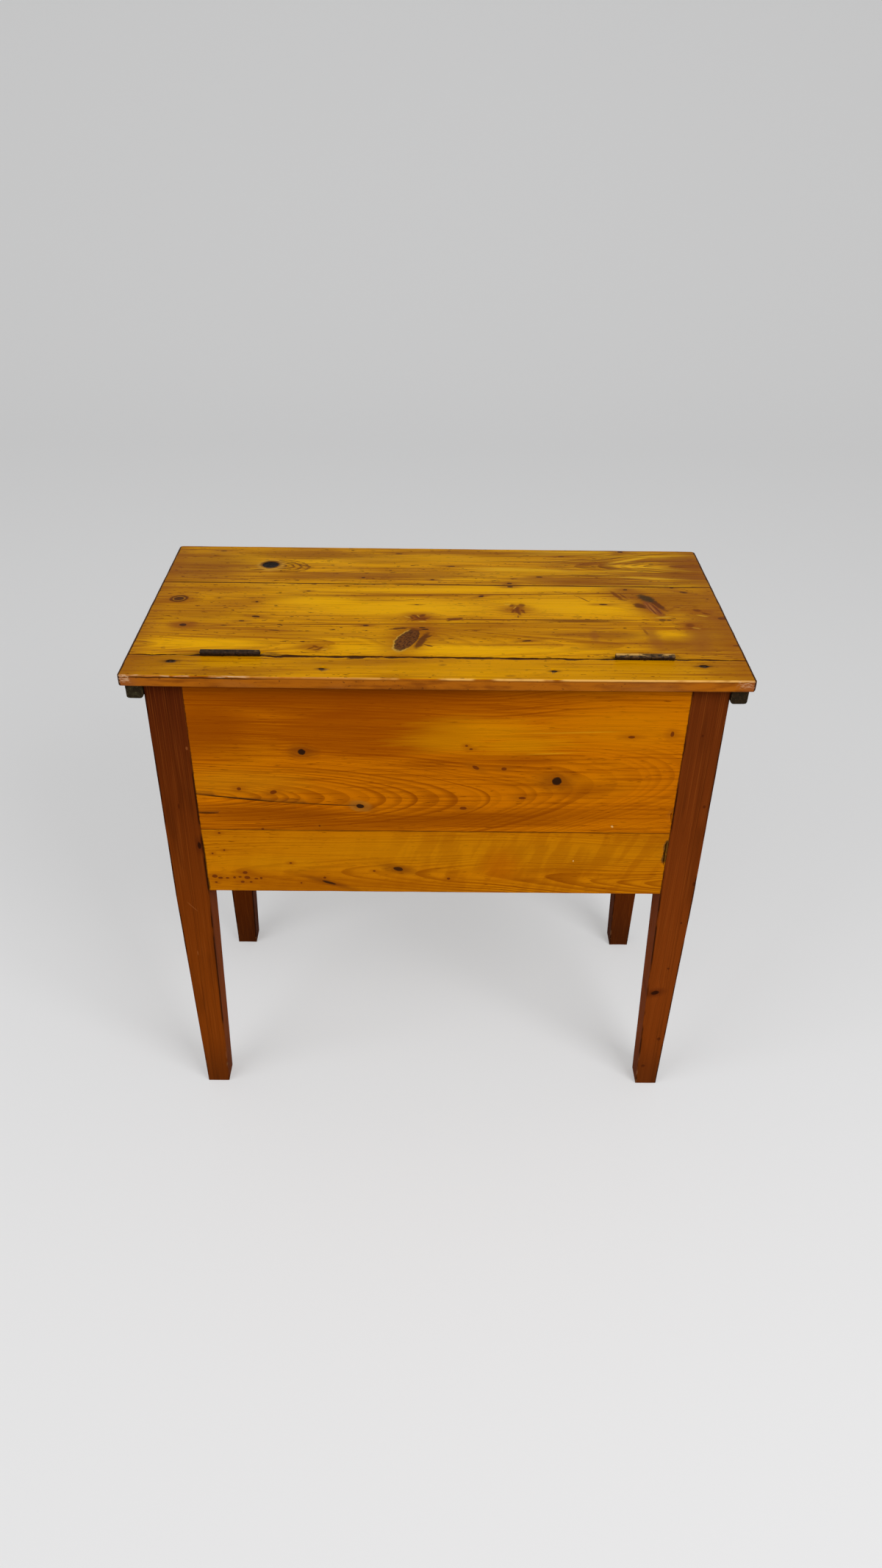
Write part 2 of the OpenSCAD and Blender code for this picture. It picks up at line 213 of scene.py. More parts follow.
class Surface:
    """The material of one piece. It is worked out in millimetres along the grain, across it
    and into the piece, from the place in the wood or metal, so that every cut face agrees.
    Its colours are as tint() takes them, and each is laid over the ones before it."""

    def __init__(self, name, order, seed):
        self.material = bpy.data.materials.new(name)
        self.material.use_nodes = True
        self.tree = self.material.node_tree
        self.axes = ["xyz".index(axis) for axis in order]
        self.seed = seed
        self.draws = 0
        self.colour = None
        here = self.add("ShaderNodeTexCoord").outputs["Object"]
        scaled = self.add("ShaderNodeVectorMath", {0: here, "Scale": 1 / MM}, operation="SCALE")
        split = self.add("ShaderNodeSeparateXYZ", {0: scaled.outputs[0]})
        self.readings = [Grain(self.tree, split.outputs[a]) for a in self.axes]
        self.along, self.across, self.deep = self.readings
        self.place = self.add("ShaderNodeCombineXYZ", enumerate(self.readings)).outputs[0]
        self.rims = {}
        self.ragged = self.mottle(9, 5, 3)
        self.streaked = self.mottle(70, 4, 3)

    def add(self, kind, links=(), **settings):
        return add_node(self.tree, kind, links, **settings)

    def mottle(self, length, width, detail=2.0, tilt=0):
        """Smooth noise, 0 to 1 about a half, in blotches this long and this wide."""
        self.draws += 1
        start = self.seed * seed_gap + self.draws * draw_gap
        mapping = self.add("ShaderNodeMapping", {
            "Vector": self.place, "Scale": (length, width, width),
            "Rotation": (0, 0, math.radians(tilt)),
            "Location": (-start * length, -start * 0.37 * width, -start * 0.71 * width),
        }, vector_type="TEXTURE")
        texture = self.add(
            "ShaderNodeTexNoise", {"Vector": mapping.outputs[0], "Scale": 1, "Detail": detail},
        )
        return Grain(self.tree, texture.outputs["Fac"])

    def around(self, *marks, ragged=0.5):
        """Distance from the nearest of some oval marks, in its own radii up to 3. A mark is its
        place along and across, its length and width, and maybe a tilt. Its rim is ragged, and
        drawn out along the grain where the first mark is long."""
        reach = 3
        right_through = 1e6
        inside = None
        for along, across, length, width, *tilt in marks:
            oval = self.add("ShaderNodeMapping", {
                "Vector": self.place, "Location": (along, across, 0),
                "Rotation": (0, 0, math.radians(sum(tilt))),
                "Scale": (reach * length / 2, reach * width / 2, right_through),
            }, vector_type="TEXTURE")
            ball = self.add(
                "ShaderNodeTexGradient", {"Vector": oval.outputs[0]}, gradient_type="SPHERICAL",
            )
            within = Grain(self.tree, ball.outputs["Fac"])
            inside = inside.work("MAXIMUM", within) if inside else within
        rim = (ragged, marks[0][2] > drawn_out_over)
        if rim not in self.rims:
            rough = self.streaked * 1.6 - 0.3 if rim[1] else self.ragged
            self.rims[rim] = rough * ragged + (1 - ragged / 2)
        return inside.work("MULTIPLY_ADD", -reach, reach) * self.rims[rim]

    def mix(self, under, over, amount):
        """A colour with another laid on it by an amount from 0 to 1."""
        under, over = (tint(*tone) if isinstance(tone, tuple) else tone for tone in (under, over))
        links = {"Factor": amount, 6: under, 7: over}
        return self.add("ShaderNodeMix", links, data_type="RGBA").outputs[2]

    def lay(self, over, amount):
        """Lays a colour all over, by an amount from 0 to 1."""
        self.colour = self.mix(self.colour, over, amount)

    def cloud(self, over, amount, size, low, high):
        """Lays a colour in blotches: none where the noise is low, and all of it where it is high."""
        self.lay(over, self.mottle(*size).ease(low, high) * amount)

    def patch(self, over, amount, *marks, edge=0.7, ragged=0.5):
        """Lays soft ovals of one colour, if any; the marks are as for around()."""
        if marks:
            self.lay(over, self.around(*marks, ragged=ragged).ease(1 + edge, 1 - edge, 0, amount))

    def near_arris(self, low, high):
        """Millimetres from the nearest edge of the board that runs from low to high."""
        first, second, third = (
            (reading - low[a]).work("MINIMUM", reading * -1 + high[a])
            for reading, a in zip(self.readings, self.axes)
        )
        nearer = first.work("MINIMUM", second)
        farther = first.work("MAXIMUM", second)
        return nearer.work("MAXIMUM", farther.work("MINIMUM", third))

    def finish(self, relief, gloss, depth, shine=0.03, metal=0.0):
        """Joins colour, relief and gloss to the shader; depth is the relief's, in millimetres."""
        bump = self.add("ShaderNodeBump", {"Distance": depth * MM, "Height": relief})
        shader = self.tree.nodes["Principled BSDF"]
        feed(self.tree, shader, {
            "Base Color": self.colour, "Roughness": gloss, "Normal": bump.outputs["Normal"],
            "Specular IOR Level": shine, "Metallic": metal,
        })
        if not metal:
            shader.inputs["Specular Tint"].default_value = (1, 0.62, 0.14, 1)
        return self.material


year_change = 4.5
change_scale = 0.21


class Timber(Surface):
    """The material of one board or post, with its growth rings and knots."""

    def push(self, along, across, length, width):
        """How far a knot crowds the grain aside, in millimetres."""
        near = self.around((along, across, 3.4 * length, 4.2 * width), ragged=0.2).ease(1.5, 0.2)
        aside = 0.6 * width
        return near * self.across.ease(across - width, across + width, -aside, aside)

    def rings(self, pith, lean, spacing, waver, knots=(), drift=0.0, swing=0.0):
        """Growth rings round the pith: 0 in the pale wood, up to 1 in the dark autumn wood.
        lean is the pith's slope along the board; drift and swing move it across and deeper."""
        across = self.across + (self.mottle(520, 130) - 0.5) * (2.4 * waver)
        across = across + (self.mottle(95, 34) - 0.5) * (0.5 * waver)
        for knot in knots:
            across = across - self.push(*knot[:4])
        across = across - drift - self.along * lean[0] - pith[0]
        deep = self.deep - self.along * lean[1] - pith[1] - swing
        deep = deep + (self.mottle(260, 120) - 0.5) * waver
        years = across.slant(deep) * (1 / spacing)
        uneven = self.add("ShaderNodeTexNoise", noise_dimensions="1D")
        feed(self.tree, uneven, {"Scale": change_scale, "W": years})
        years = years + Grain(self.tree, uneven.outputs["Fac"]) * year_change
        through = years.work("FRACT")
        autumn = through.ease(0.25, 0.86) * through.ease(1.0, 0.93)
        each_year = self.add("ShaderNodeTexWhiteNoise", noise_dimensions="1D")
        feed(self.tree, each_year, {"W": years.work("FLOOR")})
        return autumn * (Grain(self.tree, each_year.outputs["Value"]) * 0.75 + 0.25)


def stops(low, high, radius_low, radius_high, step, corner=0):
    """Places across a board: close together round each arris, fairly close within a round
    corner, and a step apart between."""
    turns = [math.tan(math.radians(angle)) for angle in (45, 30, 15, 0)]
    near_corner = [share * corner for share in (0.5, 0.66, 0.83) if corner]
    low_side = [radius_low * (1 - turn) for turn in turns] + near_corner
    high_side = [radius_high * (1 - turn) for turn in turns] + near_corner
    inner_low = low + max(1.7 * radius_low, corner)
    inner_high = high - max(1.7 * radius_high, corner)
    count = max(1, round((inner_high - inner_low) / step))
    between = [inner_low + (inner_high - inner_low) * i / count for i in range(count + 1)]
    return [low + gap for gap in low_side] + between + [high - gap for gap in reversed(high_side)]


def as_mesh(shape, name):
    """Ends a shape that was built up, and returns it as a mesh with its faces outward."""
    bmesh.ops.recalc_face_normals(shape, faces=shape.faces)
    mesh = bpy.data.meshes.new(name)
    shape.to_mesh(mesh)
    shape.free()
    return mesh


def as_piece(shape, name):
    """The same as a smooth object."""
    mesh = as_mesh(shape, name)
    mesh.shade_smooth()
    return put(name, mesh)


wear_scale = 0.035
dip_scale = 0.017


def worn_board(
    name, order, low, high, arris, under=None, step=11, dips=0.12, wear=0.35, shape=None, corner=0,
):
    """A closed board from low to high, in millimetres. arris gives the rounding at its two ends
    and its two long edges on the far face, and under the same on the near face. shape moves each
    place further, and corner is the largest upright corner that it rounds."""
    under = under or arris
    axes = ["xyz".index(axis) for axis in order]
    box_low = [low[a] for a in axes]
    box_high = [high[a] for a in axes]
    middle = [(a + b) / 2 for a, b in zip(box_low, box_high)]
    widest = [max(pair) for pair in zip(arris, under)]
    thickness = box_high[2] - box_low[2]
    deepest = min(max(widest), 0.4 * thickness)
    lines = [
        stops(box_low[0], box_high[0], widest[0], widest[1], step, corner),
        stops(box_low[1], box_high[1], widest[2], widest[3], step, corner),
        stops(box_low[2], box_high[2], deepest, deepest, step),
    ]
    own_noise = Vector((len(name) + box_low[0] * 0.01, box_low[1] * 0.013, box_low[2] * 0.017))
    shell = bmesh.new()
    found = {}

    def dressed(point):
        spot = Vector(point)
        radii = arris if point[2] > middle[2] else under
        tired = 1 + wear * noise.noise(spot * wear_scale + own_noise)
        side = [radii[0] if point[0] < middle[0] else radii[1],
                radii[2] if point[1] < middle[1] else radii[3]]
        side = [max(0.05, radius * tired) for radius in side]
        near = []
        for a in (0, 1):
            gap = min(point[a] - box_low[a], box_high[a] - point[a])
            near.append(max(0.0, 1 - gap / side[a]))
        weight = sum(near)
        edge = (side[0] * near[0] + side[1] * near[1]) / weight if weight else max(side)
        side.append(min(edge, 0.45 * thickness))
        inner = [
            min(max(point[a], box_low[a] + side[a]), box_high[a] - side[a]) for a in range(3)
        ]
        out = [(point[a] - inner[a]) / side[a] for a in range(3)]
        length = math.hypot(*out) or 1
        dip = dips * (0.5 + 0.5 * noise.noise(spot * dip_scale - own_noise))
        place = Vector((0, 0, 0))
        for a in range(3):
            place[axes[a]] = inner[a] + (side[a] - dip) * out[a] / length
        return (shape(place) if shape else place) * MM

    def vert(index):
        if index not in found:
            point = [line_stops[i] for line_stops, i in zip(lines, index)]
            found[index] = shell.verts.new(dressed(point))
        return found[index]

    for axis in range(3):
        first, second = [a for a in range(3) if a != axis]
        for end in (0, len(lines[axis]) - 1):
            for i in range(len(lines[first]) - 1):
                for j in range(len(lines[second]) - 1):
                    ring = []
                    for on_i, on_j in ((0, 0), (1, 0), (1, 1), (0, 1)):
                        index = [end, end, end]
                        index[first] = i + on_i
                        index[second] = j + on_j
                        ring.append(vert(tuple(index)))
                    shell.faces.new(ring)
    return as_piece(shell, name)


def blocks(*spans):
    """Plain boxes, each from a lowest to a highest corner in millimetres, as one mesh."""
    shapes = bmesh.new()
    for low, high in spans:
        made = bmesh.ops.create_cube(shapes, size=1)
        for vert in made["verts"]:
            vert.co = Vector([(high[a] if vert.co[a] > 0 else low[a]) * MM for a in range(3)])
    return as_mesh(shapes, "cutter")


def carve(board, mesh, operation="DIFFERENCE"):
    """Takes the mesh out of the board, or joins it on, for good."""
    tool = put("cutter", mesh)
    modifier = board.modifiers.new("carve", "BOOLEAN")
    modifier.operation = operation
    modifier.solver = "EXACT"
    modifier.object = tool
    carved = bpy.data.meshes.new_from_object(
        board.evaluated_get(bpy.context.evaluated_depsgraph_get())
    )
    board.modifiers.remove(modifier)
    old = board.data
    board.data = carved
    bpy.data.objects.remove(tool)
    bpy.data.meshes.remove(old)
    bpy.data.meshes.remove(mesh)


def fit(piece, material, body, node):
    """Gives a piece its material and its body, and hides the plain solid that it stands for."""
    piece.data.materials.clear()
    piece.data.materials.append(material)
    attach(piece, body)
    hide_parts(node)


def corners(node):
    """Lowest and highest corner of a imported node, in millimetres."""
    return [[round(c / MM, 2) for c in corner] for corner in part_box(node)]


def leg_stain(name, seed, inside, lower, upper, knots, specks, scratches):
    """Red-brown stain over fine straight pine grain, darker towards the top partly as painted shade
    under the top's overhang, with grimy arrises.
    """
    wood = Timber(name, "zxy", seed)
    autumn = wood.rings((0, 40), (0.01, 0.01), 1.5, 4, [knot for knot in knots if knot[3] > 5])
    # Painted shade: the colour darkens towards the top, partly the stain and partly the shade under
    # the top's overhang.
    wood.colour = wood.mix(lower, upper, wood.along.ease(170, 880))
    wood.lay((48, 16, 3), autumn * 0.36)
    wood.cloud((52, 20, 6), 0.3, (140, 16, 3), 0.5, 0.75)
    fibres = wood.mottle(150, 1.5, 2)
    wood.lay((166, 88, 30), fibres.ease(0.52, 0.72) * 0.22)
    halos = [(knot[0], knot[1], 2.2 * knot[2], 2 * knot[3], *knot[4:]) for knot in knots]
    wood.patch((70, 26, 10), 0.5, *halos)
    wood.patch((38, 16, 8), 0.88, *knots, edge=0.25)
    wood.patch((66, 24, 8), 0.6, *specks, edge=0.3)
    wood.patch((170, 100, 50), 0.4, *scratches, edge=0.4, ragged=0.8)
    drop = wood.along.work("MULTIPLY_ADD", -1 / taper_start, 1).work("MAXIMUM", 0)
    far_side = drop * (foot_side - leg_side) + leg_side
    gaps = []
    for reading, sign, outer in zip((wood.across, wood.deep), *inside):
        inward = reading * -sign + outer * sign - drop * foot_lean
        gaps.append(inward.work("MINIMUM", far_side - inward))
    from_arris = gaps[0].work("MAXIMUM", gaps[1])
    wood.cloud((34, 14, 6), from_arris.ease(2.9, 1.2) * 0.8, (70, 70, 3), 0.4, 0.54)
    paled_edge = from_arris.ease(2.6, 1) * wood.along.ease(90, 20) * 0.6
    wood.cloud((172, 116, 74), paled_edge, (14, 14, 3), 0.5, 0.6)
    wood.lay((56, 28, 14), wood.along.ease(120, 6) * 0.4)
    wood.lay((150, 98, 62), wood.along.ease(2.6, 1) * 0.6)
    gloss = wood.mottle(40, 12) * 0.18 + 0.42
    return wood.finish(autumn * 0.5 + fibres * 0.5, gloss, 0.06, 0.003)


# Each leg's colour below and above, the upper one holding painted shade from the top's overhang, its
# knots, its dark specks and its scratches.
leg_marks = {
    "leg_front_left": (
        (135, 62, 11), (76, 28, 10), [(493, -331, 12, 5)], [(560, -352, 9, 2)],
        [(381, -354, 21, 1.4, -37), (288, -356, 9, 1.6), (654, -330, 5, 3)],
    ),
    "leg_front_right": (
        (134, 61, 15), (99, 43, 13), [(211, 343, 13, 8, 70)],
        [(107, 362, 7, 6), (43, 344, 6, 6), (567, 367, 5, 4), (356, 364, 4, 3), (263, 357, 4, 4),
         (681, 348, 4, 3), (431, 372, 8, 4)], [],
    ),
    "leg_back_left": ((96, 41, 9), (70, 28, 8), [(520, -352, 9, 6)], [], []),
    "leg_back_right": ((98, 43, 12), (74, 30, 10), [(250, 350, 10, 7)], [], []),
}
foot_side = 34
foot_lean = 5
taper_start = 401
panel_t = 19
groove_width = 9
groove_depth = 14
groove_from = (panel_t - groove_width) / 2
panel_bottom = corners("front_panel_lower")[0][2]

for leg_seed, (leg_name, marks) in enumerate(leg_marks.items()):
    leg_low, leg_high = corners(leg_name)
    outward = [1 if leg_low[a] > 0 else -1 for a in (0, 1)]
    outer = [leg_high[a] if outward[a] > 0 else leg_low[a] for a in (0, 1)]
    leg_side = leg_high[0] - leg_low[0]

    def taper(place):
        drop = max(0.0, 1 - place.z / taper_start)
        for a in (0, 1):
            in_from_face = (outer[a] - place[a]) * outward[a]
            in_from_face = foot_lean * drop + in_from_face * (1 + (foot_side / leg_side - 1) * drop)
            place[a] = outer[a] - outward[a] * in_from_face
        return place

    leg = worn_board(
        leg_name + "_post", "zxy", leg_low, leg_high, (1.6, 0.3, 1.3, 1.3),
        step=16, dips=0.2, wear=0.7, shape=taper,
    )
    for a in (0, 1):
        groove_low = [0, 0, panel_bottom]
        groove_high = [0, 0, leg_high[2] + 1]
        for b, depths in (
            (a, (leg_side - groove_depth, leg_side + 1)),
            (1 - a, (groove_from, groove_from + groove_width)),
        ):
            groove_low[b], groove_high[b] = sorted(outer[b] - outward[b] * d for d in depths)
        carve(leg, blocks((groove_low, groove_high)))
    stained = leg_stain(leg_name + "_stain", 11 + leg_seed, (outward, outer), *marks)
    fit(leg, stained, "case", leg_name)


# Front panel
# Two pine boards glued edge to edge and tongued into the legs, flush with their faces.
# The varnish has gone orange; the upper board has a cathedral figure, black knots and a crack.
def shoulders(node, order):
    """Lowest and highest corner of a panel board without its tongues, in millimetres."""
    low, high = corners(node)
    run = "xyz".index(order[0])
    low[run] += groove_depth
    high[run] -= groove_depth
    return low, high


def panel_board(name, order, node, arris, under=None):
    """A panel board between the legs, with a tongue on each end."""
    low, high = corners(node)
    board_low, board_high = shoulders(node, order)
    run = "xyz".index(order[0])
    deep = "xyz".index(order[2])
    board = worn_board(name, order, board_low, board_high, arris, under)
    tongues = []
    for ends in ((low[run], board_low[run] + 1), (board_high[run] - 1, high[run])):
        tongue = [list(low), list(high)]
        for corner, end, inward in zip(tongue, ends, (1, -1)):
            corner[run] = end
            corner[deep] += inward * groove_from
            corner[2] += inward * tongue_play
        tongues.append(tongue)
    carve(board, blocks(*tongues), "UNION")
    return board


above_face = 0.5


def split(depth, *path):
    """A wedge to carve a crack with, along a path of (x, z, width) on the front panel's face.
    depth is how far it reaches in at its widest."""
    widest = max(width for x, z, width in path)
    wedge = bmesh.new()
    rows = []
    for i, (x, z, width) in enumerate(path):
        before = path[max(0, i - 1)]
        after = path[min(len(path) - 1, i + 1)]
        run = Vector((after[0] - before[0], after[1] - before[1])).normalized()
        rows.append([
            wedge.verts.new(Vector((x - run.y * aside, panel_face + down, z + run.x * aside)) * MM)
            for aside, down in (
                (width / 2, -above_face), (-width / 2, -above_face), (0, depth * width / widest),
            )
        ])
    for near, far in zip(rows, rows[1:]):
        for i in range(3):
            wedge.faces.new((near[i], near[(i + 1) % 3], far[(i + 1) % 3], far[i]))
    wedge.faces.new(rows[0])
    wedge.faces.new(rows[-1])
    return as_mesh(wedge, "cutter")


def bare_pine(wood, autumn):
    """The colour of unvarnished pine, dry and rubbed, with old stains."""
    bare = wood.mix((190, 148, 94), (152, 106, 60), autumn * 0.8)
    bare = wood.mix(bare, (136, 100, 62), wood.mottle(120, 50, 3).ease(0.5, 0.75) * 0.32)
    return wood.mix(bare, (112, 80, 48), wood.mottle(24, 1.1, 3).ease(0.6, 0.8) * 0.5)


def varnish(wood, autumn, pale, dark, streaks=0.5):
    """Old orange varnish over pine: pale and dark grain, warm patches and fine fibres."""
    wood.colour = wood.mix(pale, dark, autumn)
    wood.cloud((206, 122, 0), 0.5, (210, 60), 0.5, 0.75)
    wood.cloud((136, 60, 0), 0.5, (260, 70), 0.52, 0.8)
    wood.cloud(dark, streaks, (120, 3.4, 3), 0.48, 0.66)
    wood.cloud((92, 38, 0), 0.6, (18, 1.8, 2), 0.62, 0.72)


def knotted(wood, knots, heart, halo):
    """Lays small knots over a board: a halo drawn out along the grain, then the dark heart."""
    wide = [(knot[0], knot[1], 3.6 * knot[2], 2.1 * knot[3], *knot[4:]) for knot in knots]
    wood.patch(halo, 0.6, *wide)
    wood.patch(heart, 0.95, *knots, edge=0.16)


def line(along, across, to_along, to_across, width):
    """A straight narrow mark between two places, as around() wants it."""
    run = Vector((to_along - along, to_across - across))
    tilt = math.degrees(math.atan2(run.y, run.x))
    return ((along + to_along) / 2, (across + to_across) / 2, run.length, width, tilt)


def joint_dirt(wood, low, high, dirt=(52, 26, 10), reach=1.6):
    """Dirt caught along the edges of a board, where it meets its neighbours."""
    gap = wood.near_arris(low, high) + (wood.mottle(30, 6) - 0.5) * 2
    wood.lay(dirt, gap.ease(reach, 0) * 0.7)


def varnished(board, wood, autumn, node, dull=0.3):
    """Ends a panel board: the inner face is bare, and the grain stands out a little."""
    low, high = corners(node)
    deep = wood.axes[2]
    outward, inner_face = (1, low[deep]) if low[deep] > 0 else (-1, high[deep])
    bare_from, bare_to = (inner_face + outward * share * panel_t for share in (0.35, 0.15))
    wood.lay(bare_pine(wood, autumn), wood.deep.ease(bare_from, bare_to))
    relief = autumn * 0.6 + wood.mottle(60, 0.8, 3) * 0.4
    material = wood.finish(relief, wood.mottle(70, 25) * 0.2 + dull, 0.12)
    fit(board, material, "case", node)


tongue_play = 0.6
panel_face = corners("front_panel_upper")[0][1]
panel_brown = (134, 59, 0)
knot_halo = (118, 56, 8)
small_knot_tones = ((112, 50, 8), (162, 86, 4))
nick_pale = (232, 184, 108)

black_knots = [(-179, 650, 10, 9), (162, 607, 13, 13), (-104, 563, 11, 7, -12)]
small_knots = [
    (-267, 590, 6, 5), (117, 579, 10, 4), (-221, 585, 10, 6, 20), (255, 678, 9, 4),
    (308, 683, 5, 8), (37, 561, 10, 5), (52, 628, 10, 5, -30), (90, 626, 7, 5),
    (39, 662, 4, 3), (45, 657, 5, 3), (-240, 523, 4, 3), (-161, 529, 3, 3),
]
wood = Timber("front_panel_upper_varnish", "xzy", 3)
autumn = wood.rings((577, -141), (0, 0.15), 3.5, 7, black_knots, wood.along.ease(20, 330) * 40)
varnish(wood, autumn * wood.along.ease(130, 260, 0.72, 0.4), (202, 112, 0), panel_brown)
# Painted shade: the upper board darkens along its top, under the overhang of the rail.
wood.patch((142, 64, 0), 0.8, (-150, 738, 620, 66), (-300, 690, 150, 90))
wood.patch((146, 66, 0), 0.7, (-90, 680, 270, 74), edge=0.3)
wood.patch(
    (212, 138, 2), 0.55, (60, 684, 150, 34), (20, 668, 120, 30), (110, 664, 110, 26), ragged=1.0,
)
wood.patch((206, 134, 14), 0.35, (-270, 600, 170, 40), ragged=1.0)
wood.patch((206, 124, 0), 0.55, (250, 692, 170, 60))
wood.patch((136, 62, 0), 0.65, (10, 541, 460, 28, 3), (-220, 548, 240, 26))
wood.patch((138, 62, 2), 0.5, (204, 592, 80, 22, 6), (120, 640, 90, 14))
wood.patch((204, 134, 40), 0.7, (-104, 563, 30, 17, -12), edge=0.3)
wood.patch((214, 146, 20), 0.5, (151, 651, 60, 2.5, 3), (180, 684, 110, 2.5, 2), edge=0.4)
wood.patch(nick_pale, 0.8, (244, 532, 3, 4, 40), edge=0.3)
knotted(wood, small_knots, *small_knot_tones)
knotted(wood, black_knots, (32, 18, 12), knot_halo)
wood.patch(
    (50, 22, 6), 0.85, line(-327, 580.5, -212, 568, 2.6), line(-212, 568, -111, 563.5, 1.6),
    line(-327, 549, -300, 549, 2), edge=0.4, ragged=0.4,
)
joint_dirt(wood, *shoulders("front_panel_upper", "xzy"))
panel_upper = panel_board(
    "front_panel_upper_board", "xzy", "front_panel_upper", (0.3, 0.3, 0.35, 0.3),
)
carve(panel_upper, split(
    5, (-327, 580.5, 0.8), (-306, 578.2, 1.2), (-291, 576, 1.5), (-267, 573, 0.9),
    (-232, 570, 0.8), (-180, 566, 0.8), (-135, 564.5, 0.5), (-111, 563.5, 0.2),
))
carve(panel_upper, split(3, (-327, 549, 0.6), (-316, 549.4, 1.0), (-300, 549, 0.2)))
carve(panel_upper, split(
    3, (324.5, 560, 0.4), (323, 553, 2.2), (324, 546, 1.4), (324.6, 540, 0.3),
))
varnished(panel_upper, wood, autumn, "front_panel_upper")

lower_knots = [(-53, 454, 14, 7, -14), (-152, 428, 20, 4, -18)]
worm_marks = [
    (-271, 445, 7, 5), (-269, 436, 8, 6), (-276, 428, 6, 4), (-264, 428, 4, 3), (-287, 436, 4, 4),
    (-279, 437, 5, 3), (-256, 434, 6, 3), (-249, 435, 4, 4), (-297, 435, 5, 3), (-307, 435, 7, 4),
    (-315, 438, 8, 6), (-314, 427, 4, 3), (-301, 515, 4, 3), (-314, 479, 3, 3), (-297, 485, 3, 3),
    (-205, 463, 4, 3), (-158, 437, 4, 4), (-192, 427, 3, 3), (-87, 450, 4, 3), (19, 437, 5, 4),
]
wood = Timber("front_panel_lower_varnish", "xzy", 4)
autumn = wood.rings((432, -160), (0, -0.05), 2.9, 8, lower_knots, wood.along.ease(330, 60) * 14)
ripple = wood.mottle(60, 15, 2, 68).ease(0.42, 0.62)
varnish(wood, autumn * wood.along.ease(-100, 60, 0.5, 0.9), (204, 122, 2), panel_brown, 0.28)
wood.patch((206, 132, 4), 0.55, (60, 487, 560, 56), (-230, 465, 160, 30))
wood.patch((160, 82, 0), 0.5, (-190, 425, 260, 34), (-60, 424, 150, 22))
wood.lay((148, 72, 0), ripple * wood.along.ease(-110, 40, 0.3, 1) * 0.28)
wood.patch((176, 84, 0), 0.45, (92, 462, 46, 50))
wood.patch(nick_pale, 0.8, (195, 471, 2, 3), edge=0.3)
knotted(wood, worm_marks, *small_knot_tones)
knotted(wood, lower_knots, (58, 30, 12), knot_halo)
joint_dirt(wood, *shoulders("front_panel_lower", "xzy"))
wood.patch((70, 50, 22), 0.8, (324, 496, 8, 24), (323, 478, 7, 18), edge=0.3, ragged=0.9)
wood.patch((30, 14, 6), 0.8, (-326, 470, 4, 76), (-326, 424, 5, 30), edge=0.4)
panel_lower = panel_board(
    "front_panel_lower_board", "xzy", "front_panel_lower",
    (0.3, 0.3, 0.9, 0.35), (0.3, 0.3, 1.6, 0.35),
)
carve(panel_lower, split(
    4, (324.2, 508, 0.5), (322.6, 501, 3.2), (323.2, 493, 2.2), (322.2, 486, 3.8),
    (323, 478, 2.2), (322.8, 472, 3.4), (324.4, 464, 0.5),
))
varnished(panel_lower, wood, autumn, "front_panel_lower")


# Back panel and ends
# The same pine in two boards a side, tongued into the legs in the same way.
# They are hidden in the photograph; their varnish is taken as browner and duller.
hidden_boards = {
    "back_panel_upper": (
        "xzy", (640, 140), 0.06, [(-150, 690, 11, 9), (95, 565, 9, 8), (232, 640, 13, 11)],
    ),
    "back_panel_lower": ("xzy", (470, 120), -0.04, [(180, 455, 10, 8)]),
    "left_end_upper": ("yzx", (600, -330), 0.09, [(60, 660, 12, 10), (-70, 590, 8, 7)]),
    "left_end_lower": ("yzx", (430, -300), 0.05, [(-20, 480, 9, 7)]),
    "right_end_upper": ("yzx", (630, 325), -0.08, [(-40, 700, 10, 9), (85, 585, 12, 9)]),
    "right_end_lower": ("yzx", (480, 300), 0.06, [(50, 440, 8, 7)]),
}
for seed, (node, (order, pith, lean, knots)) in enumerate(hidden_boards.items()):
    wood = Timber(node + "_varnish", order, 21 + seed)
    autumn = wood.rings(pith, (0, lean), 3.1, 8, knots)
    varnish(wood, autumn, (180, 98, 6), (134, 62, 3))
    knotted(wood, knots, (52, 28, 14), knot_halo)
    joint_dirt(wood, *shoulders(node, order))
    bottom = 1.3 if node.endswith("lower") else 0.35
    board = panel_board(node + "_board", order, node, (0.3, 0.3, bottom, 0.35))
    varnished(board, wood, autumn, node, 0.38)


# Floor ledgers
# Four square strips of bare pine nailed inside the panels, for the floor boards to lie on.
# They are straight from the saw.
def saw_marks(wood, amount):
    """Faint bars across the grain, as a saw leaves them."""
    wood.cloud((120, 84, 50), amount, (1.3, 60, 1), 0.5, 0.62)


def head_pockets(nails):
    """Shallow pockets for nail heads, one for each (place, outward direction)."""
    spans = []
    for place, out in nails:
        reach = []
        for a in range(3):
            if out[a]:
                inward = place[a] - out[a] * (nail_head + head_sunk + pocket_extra)
                reach.append(sorted((inward, place[a] + out[a])))
            else:
                wide = a == (1 if out[0] else 0)
                half = (nail_long if wide else nail_thick) / 2 + pocket_play
                reach.append((place[a] - half, place[a] + half))
        spans.append(zip(*reach))
    return blocks(*spans)


